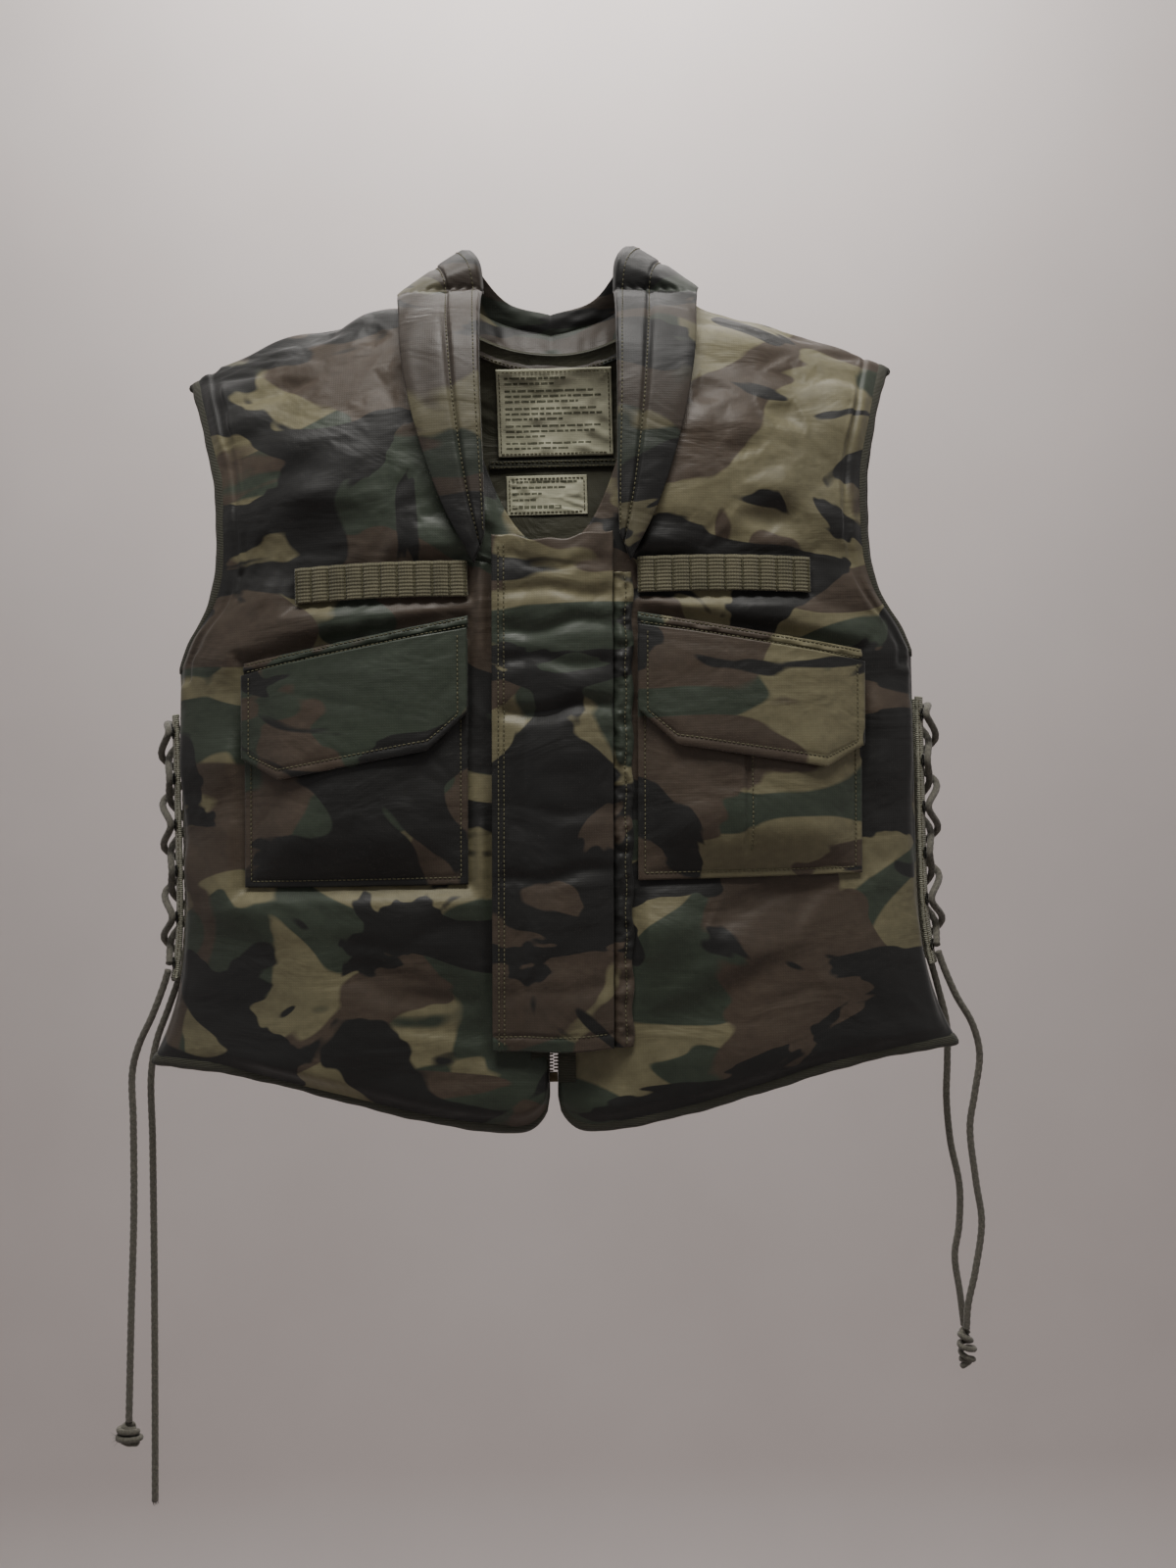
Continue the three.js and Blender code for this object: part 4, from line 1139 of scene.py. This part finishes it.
def make_collar():
    columns, rows = 220, 26
    spots = grid_of(columns, rows, collar_spot)
    ways = grid_of(columns, rows, collar_way)
    along = np.abs(2 * np.linspace(0, 1, columns + 1) - 1)[:, None]
    share = np.linspace(0, 1, rows + 1)[None, :]
    ends = eases((1 - along) * 420, 16)
    plump = (np.clip(np.sin(np.pi * (0.03 + 0.94 * share)), 0, 1) ** 0.5) * (0.35 + 0.65 * ends)
    half = COLLAR_THICK / 2 * (0.3 + 0.7 * plump)
    seams = [(0.60, 3.0)]
    groove = sum(deep * np.exp(-((share - at) / 0.045) ** 2) for at, deep in seams) * np.ones(half.shape)
    sewn = np.zeros(half.shape)
    sewn[:, [0, -1]] = 1
    sewn[[0, -1], :] = 1
    for at, _ in seams:
        sewn[:, round(at * rows)] = 1
    middle = spots - ways * (COLLAR_THICK / 2)
    top = middle + ways * half[..., None]
    free = eases(np.minimum(share, 1 - share) * 60, 10) * np.ones(half.shape)
    top = crumpled(top, ways, sewn, (0.09, 0.07), free, 3.5, 7.0, pressure=2.2, seed=41, frames=16)
    outer = top - ways * groove[..., None]
    folds = smooth_noise(half.shape, (44, 5), 45) * free
    inner = middle - ways * (half + 0.6 * folds - 0.5)[..., None]
    made = sheet_between("collar_pad", finer(outer, 2), finer(inner, 2), [CAMO_COLLAR_PAINTED_SHADE])
    stands_for(made, ["collar_outer_cover", "collar_filler", "collar_inner_cover"])
    lines = []
    for at, _ in seams:
        lines.append(uv_line(outer, ways, (0.005, at), (0.995, at), 400))
    lines.append(uv_line(outer, ways, (0.004, 0.94), (0.996, 0.94), 400))
    sewing("collar_stitches", lines)


def make_collar_stand():
    """Lining strip that closes the neck between the collar and the back's neck edge."""
    columns, rows = 150, 20
    ripple = smooth_noise((columns + 1, rows + 1), (26, 3), 47)

    def at(u, v, inset):
        place = lerp(0.255, 0.745, u)
        way = collar_way(place, 0.3)
        top = collar_spot(place, 0.42) - way * (COLLAR_THICK - 2.5 + inset)
        x = top[0] * 0.93
        dip = max(0, 1 - ((x - centre_at(0)) / NECK_HALF) ** 2)
        z = crown_at(x) - BACK_NECK_DROP * dip - 13
        foot = on_surface(back_y, 1, x, z, -(PANEL_THICK + 0.4 + inset))
        foot[1] = max(foot[1], 1.0)
        middle = lerp(top, foot, v)
        return middle - way * (2.2 * math.sin(math.pi * v) + 1.3 * ripple[round(u * columns), round(v * rows)]
                               * math.sin(math.pi * v))

    inside = grid_of(columns, rows, lambda u, v: at(u, v, 1.6))
    outside = grid_of(columns, rows, lambda u, v: at(u, v, 0.0))
    # The neck stand takes the darkened collar camouflage: painted shade inside the neck.
    made = sheet_between("collar_stand", inside, outside, [CAMO_COLLAR_PAINTED_SHADE])
    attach(made, "root")
    ways = grid_ways(inside, (0, -1, 0))
    sewing("collar_stand_stitches", [uv_line(inside, ways, (0.01, 0.93), (0.99, 0.93), 150)])


make_collar()
make_collar_stand()


# ---------------------------------------------------------------- storm flap
def front_grid(columns, rows, plan, height):
    return grid_of(columns, rows, lambda u, v: on_front(*plan(u, v), height(u, v)))


def flap_under(u):
    rise = math.sin(math.pi * clamp01((u - 0.26) / 0.74)) ** 1.2
    return lerp(3.8, 1.8, u ** 4) + 9 * rise


def flap_plan(u, v):
    z = lerp(FLAP_BOTTOM_Z, FLAP_TOP_Z, v)
    gathered = ramp(0.86, 1.0, v) * (6.5 * math.sin(math.pi * u) ** 2 + 2.0 * math.sin(11 * u + 1) ** 2)
    return centre_at(z) + lerp(-FLAP_HALF, FLAP_HALF, u), z - gathered


FOLD_SHARES = [0.115, 0.335, 0.462, 0.655, 0.748, 0.815, 0.885, 0.945]
FOLD_DEPTHS = [0.8, 2.4, 1.2, 5.5, 2.6, 3.4, 3.0, 2.2]


def flap_pillows(u, v):
    """Hollows where the padded flap folds across, deepest near its middle."""
    depth = 0
    for at, deep in zip(FOLD_SHARES, FOLD_DEPTHS):
        slant = at + 0.018 * (u - 0.5) * (1 if int(at * 100) % 2 else -1) + 0.006 * math.sin(9 * u + 40 * at)
        depth += deep * math.exp(-((v - slant) / 0.016) ** 2)
    return depth * ramp(0.0, 0.16, u) * (0.55 + 0.45 * ramp(1.0, 0.85, u) if u > 0.85 else 1)


def make_storm_flap():
    columns, rows = 34, 140
    pad = 4.0
    top = front_grid(columns, rows, flap_plan, lambda u, v: flap_under(u) + pad + 1.5)
    ways = grid_ways(top, (0, -1, 0))
    u = np.linspace(0, 1, columns + 1)[:, None] * np.ones((1, rows + 1))
    v = np.linspace(0, 1, rows + 1)[None, :] * np.ones((columns + 1, 1))
    sewn = np.zeros(u.shape)
    sewn[(np.abs(u - 0.10) < 0.02) | (u < 0.01) | (u > 0.985) | (v < 0.004)] = 1
    sewn[np.abs(v - 0.028) < 0.004] = 1
    for at in FOLD_SHARES:
        sewn[(np.abs(v - at) < 0.004) & (u > 0.25)] = 0.35
    free = eases(u * 88, 9) * eases((1 - u) * 88, 7) * eases(v * 376, 9)
    pillows = np.array([[flap_pillows(a, b) for b in v[0]] for a in u[:, 0]])
    folded = top - ways * pillows[..., None]
    outer = crumpled(folded, ways, sewn, (0.04, 0.11), free, 4.0, 7.0, pressure=2.2, seed=53, frames=18)
    edge_line = np.exp(-((u - 0.10) * 88 / 1.6) ** 2) + np.exp(-((v - 0.028) * 376 / 1.6) ** 2)
    outer = outer - ways * (1.0 * edge_line + 1.6 * (1 - eases(u * 88, 7)))[..., None]
    under = front_grid(columns, rows, flap_plan, lambda a, b: flap_under(a))
    made = sheet_between("storm_flap_pad", finer(outer, 2), finer(under, 2), [CAMO_FLAP])
    stands_for(made, ["storm_flap"], "storm_flap")
    lines = [uv_line(outer, ways, (0.10, 0.01), (0.10, 0.985), 300),
             uv_line(outer, ways, (0.055, 0.01), (0.055, 0.985), 300),
             uv_line(outer, ways, (0.02, 0.028), (0.97, 0.028), 80)]
    sewing("storm_flap_stitches", lines, "storm_flap")


def make_flap_seam():
    """Gathered seam that joins the flap to the wearer's left front."""
    low_z, high_z = FLAP_BOTTOM_Z, -219
    columns, rows = 12, 300
    shape = (columns + 1, rows + 1)
    pucker = smooth_noise(shape, (2, 44), 61) + 0.7 * smooth_noise(shape, (3, 90), 62)

    def plan(u, v):
        z = lerp(low_z, high_z, v)
        return centre_at(z) + lerp(FLAP_SEAM[0], FLAP_SEAM[1], u) + 0.9 * math.sin(v * 61) * u, z

    def height(u, v):
        lump = pucker[round(u * columns), round(v * rows)]
        crown = math.sin(math.pi * clamp01(0.1 + 0.85 * u)) ** 0.6
        stitched = 1.5 * math.exp(-((u - 0.62) / 0.12) ** 2)
        return 0.9 + 3.6 * crown + 1.4 * lump * crown - stitched

    top = front_grid(columns, rows, plan, height)
    under = front_grid(columns, rows, plan, lambda u, v: 0.5)
    made = sheet_between("storm_flap_gathered_seam", top, under, [CAMO_FLAP])
    stands_for(made, ["storm_flap_seam"])
    ways = grid_ways(top, (0, -1, 0))
    sewing("flap_seam_stitches", [uv_line(top, ways, (0.62, 0.004), (0.62, 0.996), 300)])


make_storm_flap()
make_flap_seam()


# ---------------------------------------------------------------- pockets
POCKET_TAPE_STACK = 3.3
POCKET_FABRIC = 1.6
FLAP_LENGTH = 62
FLAP_POINT = 22
FLAP_THICK = 2.4


def bulge(u, v):
    sides = ramp(0.0, 0.26, min(u, 1 - u))
    return POCKET_BULGE * sides * ramp(0.0, 0.24, v)


def pouch_under(u, v):
    return 0.8 + bulge(u, v) * lerp(1, 0.45, v)


def pocket_spot(side, u, z):
    return centre_at(z) + side * (POCKET_INNER + POCKET_WIDTH * u), z


def mouth_share(u, z):
    return clamp01((z - POCKET_BOTTOM) / (pocket_seam(u) - 8 - POCKET_BOTTOM))


def flap_drop(u):
    return FLAP_LENGTH + FLAP_POINT * min(1, 6 * u, 5 * (1 - u))


def mm_grid(columns, rows, width, height):
    u = np.linspace(0, 1, columns + 1)[:, None] * np.ones((1, rows + 1))
    v = np.linspace(0, 1, rows + 1)[None, :] * np.ones((columns + 1, 1))
    return u, v, np.minimum(u, 1 - u) * width, v * height


def make_pocket(name, side, seed, pleat):
    """Pouch sewn flat round its sides and foot, full in the middle, open under its flap."""
    columns, rows = 60, 62

    def plan(u, v):
        return pocket_spot(side, u, lerp(POCKET_BOTTOM, pocket_seam(u) - 8, v))

    top = front_grid(columns, rows, plan, lambda u, v: pouch_under(u, v) + POCKET_FABRIC)
    ways = grid_ways(top, (0, -1, 0))
    u, v, from_sides, from_foot = mm_grid(columns, rows, POCKET_WIDTH, 165)
    edge = np.minimum(from_sides, from_foot)
    sewn = np.where(edge < 5, 1.0, 0.0)
    sewn[:, -1] = 0.5
    free = eases(edge - 4, 14) * (1 - 0.75 * eases(v * 165 - 105, 30))
    if pleat:
        sewn[(np.abs(u - 0.47) < 0.01) & (v > 0.12)] = 0.7
    settled = crumpled(top, ways, sewn, (0.05, 0.07), free, 2.5, 5.0, pressure=1.5, seed=seed, frames=16)
    line = 0.7 * np.exp(-((edge - 5.0) / 1.3) ** 2)
    if pleat:
        line = line + 2.6 * np.exp(-((u - 0.47) * POCKET_WIDTH / 2.2) ** 2) * eases(v * 165 - 12, 20)
    outer = settled - ways * line[..., None]
    under = front_grid(columns, rows, plan, pouch_under)
    base = front_grid(columns, rows, plan, lambda a, b: 0.6)
    inner = outer - ways * POCKET_FABRIC
    gap = ((inner - base) * ways).sum(axis=2)
    inner = inner + ways * np.maximum(0, -gap)[..., None]
    outer = np.where((((outer - inner) * ways).sum(axis=2) < 1.0)[..., None], inner + ways, outer)
    made = sheet_between(f"{name}_pocket_pouch", finer(outer, 2), finer(inner, 2), [CAMO_POCKET])
    stands_for(made, [f"{name}_pocket"])
    lines = [uv_line(outer, ways, (0.03, 0.03), (0.97, 0.03)),
             uv_line(outer, ways, (0.03, 0.03), (0.03, 0.97)),
             uv_line(outer, ways, (0.97, 0.03), (0.97, 0.97))]
    if pleat:
        lines.append(uv_line(outer, ways, (0.485, 0.12), (0.485, 0.6)))
    sewing(f"{name}_pocket_stitches", lines)
    return under


def make_pocket_flap(name, side, seed):
    columns, rows = 60, 34

    def plan(u, v):
        top = pocket_seam(u) - 0.4
        return pocket_spot(side, u, lerp(top - flap_drop(u), top, v))

    def under(u, v):
        z = plan(u, v)[1]
        lift = pouch_under(u, mouth_share(u, z)) + POCKET_FABRIC + POCKET_TAPE_STACK
        return max(lift, 2.3)

    low = front_grid(columns, rows, plan, under)
    ways = grid_ways(low, (0, -1, 0))
    u, v, from_sides, from_foot = mm_grid(columns, rows, POCKET_WIDTH, 80)
    from_top = (1 - v) * 80
    edge = np.minimum(from_sides, from_foot)
    sewn = np.where((edge < 2) | (np.abs(edge - 7) < 1.5) | (from_top < 4), 1.0, 0.0)
    free = eases(edge - 3, 12) * eases(from_top - 2, 12)
    top = low + ways * FLAP_THICK
    settled = crumpled(top, ways, sewn, (0.03, 0.05), free, 0.6, 4.0, pressure=1.2, seed=seed, frames=14)
    line = 0.5 * np.exp(-((edge - 7) / 1.2) ** 2) + 0.8 * (1 - eases(edge, 3))
    outer = settled - ways * line[..., None]
    made = sheet_between(f"{name}_pocket_flap_cloth", finer(outer, 2), finer(low, 2), [CAMO_POCKET])
    stands_for(made, [f"{name}_pocket_flap"], f"{name}_pocket_flap")
    a, b = 7 / POCKET_WIDTH, 7 / 80
    lines = [uv_line(outer, ways, (a, b), (1 - a, b), 120), uv_line(outer, ways, (a, b), (a, 0.96)),
             uv_line(outer, ways, (1 - a, b), (1 - a, 0.96))]
    sewing(f"{name}_pocket_flap_stitches", lines, f"{name}_pocket_flap")


def make_flap_band(name, side, seed):
    """Folded band that sews the pocket flap on, with two stitch rows."""
    columns, rows = 120, 12
    ripple = smooth_noise((columns + 1, rows + 1), (30, 3), seed)

    def plan(u, v):
        return pocket_spot(side, u, lerp(pocket_seam(u) + 0.3, pocket_seam(u) + 9, v))

    def height(u, v):
        crown = clamp01(math.sin(math.pi * (0.04 + 0.92 * v))) ** 0.4
        rows_in = math.exp(-((v - 0.2) / 0.08) ** 2) + math.exp(-((v - 0.8) / 0.08) ** 2)
        return 1.4 + 2.5 * crown - 0.6 * rows_in + 0.5 * ripple[round(u * columns), round(v * rows)]

    top = front_grid(columns, rows, plan, height)
    low = front_grid(columns, rows, plan, lambda u, v: 0.6)
    made = sheet_between(f"{name}_pocket_band", top, low, [CAMO_POCKET])
    stands_for(made, [f"{name}_pocket_flap_band"])
    ways = grid_ways(top, (0, -1, 0))
    sewing(f"{name}_pocket_band_stitches", [uv_line(top, ways, (0.01, v), (0.99, v), 90) for v in (0.2, 0.8)])


for side_name, side in SIDES.items():
    make_pocket(side_name, side, 71 + side, side > 0)
    make_pocket_flap(side_name, side, 81 + side)
    make_flap_band(side_name, side, 91 + side)


# ---------------------------------------------------------------- chest webbing
TACK_PITCH = 12.8


def make_webbing(name, side):
    """Strap held down by bar tacks, standing off a little between them."""
    columns, rows = 256, 16

    def plan(u, v):
        x = WEBBING_INNER + WEBBING_LENGTH * u
        z = WEBBING_Z + 2 * WEBBING_HALF * (v - 0.5) + 1.2 * math.sin(math.pi * u) - 1.0 * u
        return centre_at(WEBBING_Z) + side * x, z

    def lift(u):
        t = (u * WEBBING_LENGTH / TACK_PITCH) % 1
        return 1.9 * math.sin(math.pi * t) ** 0.7

    def top_height(u, v):
        rim = 0.5 * (1 - clamp01(min(v, 1 - v) / 0.05))
        ribs = 0.22 * math.sin(2 * math.pi * v * 2 * WEBBING_HALF / 2.6)
        return 0.8 + 1.9 + lift(u) - rim + ribs

    top = front_grid(columns, rows * 4, plan, top_height)
    low = front_grid(columns, rows * 4, plan, lambda u, v: 0.7 + 0.75 * lift(u))
    made = sheet_between(f"{name}_webbing_strap", top, low, [WEBBING])
    stands_for(made, [f"{name}_chest_webbing"])
    ways = grid_ways(top, (0, -1, 0))
    lines = []
    for k in range(11):
        u = min(0.985, max(0.012, k * TACK_PITCH / WEBBING_LENGTH))
        zigzag = []
        for n in range(61):
            shift = 0.0075 * (1 if n % 2 else -1)
            zigzag.append(((u + shift) * columns, (0.06 + 0.88 * n / 60) * rows * 4))
        lines.append(line_on(top, ways, zigzag, 0.2))
    sewing(f"{name}_webbing_tacks", lines, pitch=1.3, length=1.25, radius=0.36)


make_webbing("right", -1)
make_webbing("left", 1)


# ---------------------------------------------------------------- side lacing
STRIP_INNER = 9
STRIP_THICK = 2
STRIP_SETBACK = 1.6
STRIP_LOW_Z = -519
STRIP_HIGH_Z = -311
BACK_EDGE_Y = 21.54


def eyelet_z(k):
    return lerp(STRIP_LOW_Z + 14, STRIP_HIGH_Z - 14, k / (EYELETS - 1))


def make_lacing_strip(name, side, place):
    """Webbing strip on a panel's edge, its lower corner frayed on the right front."""
    sign = -1 if place == "front" else 1
    edge = SIDE_GAP_HALF if place == "front" else BACK_EDGE_Y
    columns, rows = 14, 150
    frayed = side < 0 and place == "front"
    worn = smooth_noise((columns + 1, rows + 1), (3, 60), 101)

    def at(u, v, lift):
        nick = 0.35 * worn[round(u * columns), round(v * rows)] * (1 if u > 0.9 or u < 0.1 else 0)
        y = sign * (lerp(edge - STRIP_SETBACK, STRIP_INNER, u) + nick)
        z = lerp(STRIP_LOW_Z, STRIP_HIGH_Z, v)
        if frayed:
            z += 5 * max(0, 0.05 - v) / 0.05 * (0.5 + 0.5 * math.sin(40 * u))
        ribs = 0.16 * math.sin(2 * math.pi * u * 7)
        return on_side(side, y, z, lift + (ribs if lift > -1 else 0) - 0.15)

    top = grid_of(columns, rows, lambda u, v: at(u, v, 0.0))
    low = grid_of(columns, rows, lambda u, v: at(u, v, -STRIP_THICK))
    made = sheet_between(f"{name}_lacing_webbing", top, low, [LACING_TAPE])
    stands_for(made, [f"{name}_lacing_strip"])
    ways = grid_ways(top, (side, 0, 0))
    sewing(f"{name}_strip_stitches", [uv_line(top, ways, (0.14, 0.01), (0.14, 0.99), 120)])
    rings = []
    for k in range(EYELETS):
        spot = on_side(side, sign * EYELET_OFFSET, eyelet_z(k), 0.0)
        way = on_side(side, sign * EYELET_OFFSET, eyelet_z(k), 1.0) - spot
        rings.append((spot, way))
    make_eyelets(f"{name}_eyelets", rings)


def make_eyelets(name, rings):
    """Rolled metal eyelets."""
    points, faces = [], []
    around, across = 24, 8
    for spot, way in rings:
        a = np.cross(way, (0, 0, 1))
        a /= np.linalg.norm(a)
        b = np.cross(way, a)
        base = len(points)
        for i in range(around):
            angle = 2 * math.pi * i / around
            out = a * math.cos(angle) + b * math.sin(angle)
            for j in range(across):
                turn = 2 * math.pi * j / across
                points.append(spot + out * (3.9 + 1.1 * math.cos(turn)) + way * (0.25 + 0.6 * math.sin(turn)))
        for i in range(around):
            for j in range(across):
                n, m = (i + 1) % around, (j + 1) % across
                faces.append([base + i * across + j, base + n * across + j, base + n * across + m,
                              base + i * across + m])
    made = make(name, points, faces, [BLACK_METAL])
    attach(made, "root")
    return made


def strand(side, starts_front, cross_lift):
    points = []
    for k in range(EYELETS):
        front = (k % 2 == 0) == starts_front
        y = -EYELET_OFFSET if front else EYELET_OFFSET
        points.append(on_side(side, y, eyelet_z(k), STRIP_LIFT))
        if k < EYELETS - 1:
            points.append(on_side(side, 0, (eyelet_z(k) + eyelet_z(k + 1)) / 2, cross_lift))
    return points


for side_name, side in SIDES.items():
    for place in ("front", "back"):
        make_lacing_strip(f"{side_name}_{place}", side, place)
    top_turn = on_side(side, 0, eyelet_z(EYELETS - 1) + 8, STRIP_LIFT + 1)
    route = [*strand(side, True, STRIP_LIFT + 0.4), top_turn, *strand(side, False, CROSS_LIFT)[::-1]]
    make_cord(f"{side_name}_side_lace", route)


def make_knot(name, centre, radii, turns, seed):
    made = knot_of(f"{name}_winding", centre, radii, turns, seed)
    stands_for(made, [name])
    return made


def fray(name, root_point, direction, count, length, spread, seed):
    """Loose threads at a cord's cut end."""
    random = np.random.default_rng(seed)
    points, faces = [], []
    for _ in range(count):
        lean = np.array(direction, float) + random.normal(0, spread, 3)
        lean /= np.linalg.norm(lean)
        bend = random.normal(0, 0.25, 3)
        base = len(points)
        reach = length * random.uniform(0.5, 1.0)
        begin = np.array(root_point) + random.normal(0, 1.0, 3) * [1, 0.8, 0.2]
        for k in range(4):
            t = k / 3
            middle = begin + (lean * t + bend * t * t) * reach
            for c in range(3):
                angle = 2 * math.pi * c / 3
                thin = 0.32 * (1 - 0.7 * t)
                points.append(middle + np.array([math.cos(angle), math.sin(angle), 0]) * thin)
        for k in range(3):
            for c in range(3):
                n = (c + 1) % 3
                faces.append([base + 3 * k + c, base + 3 * k + n, base + 3 * k + 3 + n, base + 3 * k + 3 + c])
    made = make(name, points, faces, [CORD])
    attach(made, "root")
    return made


right_knot = make_knot("right_lace_knot", (-344, -6, -877.8), (12, 8, 11), 5, 111)
left_knot = make_knot("left_lace_knot", (319.5, 0, -828.4), (9, 9, 18), 6, 113)
right_fray = fray("right_knot_fray", (-350, -6, -880), (-0.75, 0, -0.35), 26, 8, 0.45, 117)
bare_fray = fray("right_back_lace_fray", (-330, 8, -938), (0, 0, -1), 14, 4, 0.25, 119)


# ---------------------------------------------------------------- labels inside the back
def inside_back(x, z, gap):
    return on_surface(back_y, 1, x, z, -(PANEL_THICK + gap))


def make_label(node, x_range, z_range, gap, bars, seed):
    """Sewn cloth label; its print is plain bars with no words."""
    columns, rows = 60, 48
    shape = (columns + 1, rows + 1)
    wave = smooth_noise(shape, (5, 4), seed) + 0.5 * smooth_noise(shape, (12, 9), seed + 1)
    size = (x_range[1] - x_range[0], z_range[1] - z_range[0])

    def face(lift):
        def at(u, v):
            edge = min(min(u, 1 - u) * size[0], min(v, 1 - v) * size[1])
            ripple = 1.7 * wave[round(u * columns), round(v * rows)] * ramp(0, 9, edge)
            corner = ramp(0.45, 1.0, u) * ramp(0.7, 0.1, v) * ramp(0, 6, edge)
            ripple += 1.1 * corner * math.sin(26 * (0.6 * u + v))
            return inside_back(lerp(*x_range, u), lerp(*z_range, v), gap + lift + max(-0.4, ripple))
        return grid_of(columns, rows, at)

    front, behind = face(0.7), face(0.0)
    made = sheet_between(f"{node}_cloth", front, behind, [LABEL])
    stands_for(made, [node])
    ways = grid_ways(front, (0, -1, 0))
    margin = 2.5
    a, b = margin / size[0], margin / size[1]
    corners_uv = [(a, b), (1 - a, b), (1 - a, 1 - b), (a, 1 - b), (a, b)]
    sewing(f"{node}_stitches", [uv_line(front, ways, p, q, 40) for p, q in zip(corners_uv, corners_uv[1:])])
    points, faces = [], []
    random = np.random.default_rng(seed + 5)
    for v, share, tall in bars:
        u = 0.07
        stop = 0.07 + 0.86 * share
        while u < stop - 0.02:
            wide = min(random.uniform(0.03, 0.09), stop - u)
            base = len(points)
            cells = 4
            for k in range(cells + 1):
                for level in (v - tall / 2, v + tall / 2):
                    i, j = (u + wide * k / cells) * columns, level * rows
                    points.append(sample(front, i, j) + sample(ways, i, j) * 0.12)
            for k in range(cells):
                q = base + 2 * k
                faces.append([q, q + 2, q + 3, q + 1])
            u += wide + 0.014
    bars_made = make(f"{node}_print", points, faces, [PRINT])
    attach(bars_made, "root")


# Bars of print: height up the label, share of its width, and thickness.
LONG_BARS = [(0.90, 0.62, 0.022), (0.84, 0.50, 0.022), (0.76, 0.92, 0.022), (0.70, 0.97, 0.022),
             (0.64, 0.74, 0.022), (0.56, 0.95, 0.022), (0.50, 0.98, 0.022), (0.44, 0.58, 0.022),
             (0.36, 0.96, 0.022), (0.30, 0.90, 0.022), (0.24, 0.40, 0.022), (0.16, 0.86, 0.022),
             (0.10, 0.66, 0.022)]
SIZE_BARS = [(0.84, 0.95, 0.05), (0.70, 0.80, 0.05), (0.54, 0.45, 0.05), (0.38, 0.34, 0.05),
             (0.2, 0.72, 0.085)]
make_label("instruction_label", (-38, 59), (-96, -24), 2.6, LONG_BARS, 121)
make_label("size_label", (-32, 36), (-146, -112), 0.8, SIZE_BARS, 131)


def make_seam_tape():
    columns, rows = 120, 6

    def outer_face(u, v):
        wave = 0.35 * math.sin(u * 60) * math.sin(math.pi * v)
        return inside_back(lerp(-46, 66, u), lerp(-106, -99, v), 1.6 + 0.9 + wave)

    top = grid_of(columns, rows, outer_face)
    low = grid_of(columns, rows, lambda u, v: inside_back(lerp(-46, 66, u), lerp(-106, -99, v), 1.6))
    made = sheet_between("lining_tape", top, low, [BINDING])
    stands_for(made, ["lining_seam_tape"])
    ways = grid_ways(top, (0, -1, 0))
    sewing("lining_tape_stitches", [uv_line(top, ways, (0.01, v), (0.99, v), 60) for v in (0.2, 0.8)])


make_seam_tape()


# ---------------------------------------------------------------- zip and grip tapes
ZIP_TOP_Z = -204
ZIP_LOW_Z = -590
TOOTH_PITCH = 2.4
CHAIN_LOW = 1.4
CHAIN_HIGH = 3.1


def make_teeth(name, side):
    """One row of moulded zip teeth, each with a root on the tape and a rounded head."""
    points, faces = [], []
    count = int((ZIP_TOP_Z - ZIP_LOW_Z - 14) / TOOTH_PITCH)
    for k in range(count):
        z = ZIP_LOW_Z + 9 + TOOTH_PITCH * (k + (0.5 if side > 0 else 0))
        base = len(points)
        for x, half in ((0.2, 0.45), (1.0, 0.62), (1.9, 0.5), (3.1, 0.75)):
            for height, share in ((CHAIN_LOW, 0.85), (CHAIN_HIGH - 0.4, 1.0), (CHAIN_HIGH, 0.6)):
                for sign in (-1, 1):
                    points.append(on_front(centre_at(z) + side * x, z + sign * half * share, height))
        for r in range(3):
            q = base + 6 * r
            for a, b in ((0, 2), (2, 4), (4, 5), (5, 3), (3, 1), (1, 0)):
                faces.append([q + a, q + b, q + b + 6, q + a + 6])
        for q, turn in ((base, 1), (base + 18, -1)):
            faces.append([q + n for n in (0, 1, 3, 5, 4, 2)][::turn])
    made = make(f"{name}_zip_teeth", points, faces, [BRASS], smooth=False)
    stands_for(made, [f"{name}_zip_chain"])


make_teeth("right", -1)
make_teeth("left", 1)

NODE_FINISHES = {
    "binding_tape": ["right_zip_tape", "left_zip_tape"],
    "webbing": ["flap_hook_tape", "flap_loop_tape", "right_pocket_loop_tape", "right_pocket_hook_tape",
                "left_pocket_loop_tape", "left_pocket_hook_tape"],
    "zip_metal": ["zip_slider", "zip_pull_tab", "zip_bottom_box"],
}
SLOT_MATERIALS = {"binding_tape": BINDING, "webbing": LOOPS, "zip_metal": BRASS}
for slot_name, node_names in NODE_FINISHES.items():
    for node_name in node_names:
        node = bpy.data.objects[node_name]
        node.data.materials.clear()
        node.data.materials.append(SLOT_MATERIALS[slot_name])


# ---------------------------------------------------------------- sizes and the end
def corners(box):
    return [[float(c) for c in corner] for corner in box]


{"cad": corners(cad_box), "visual": corners(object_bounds())}
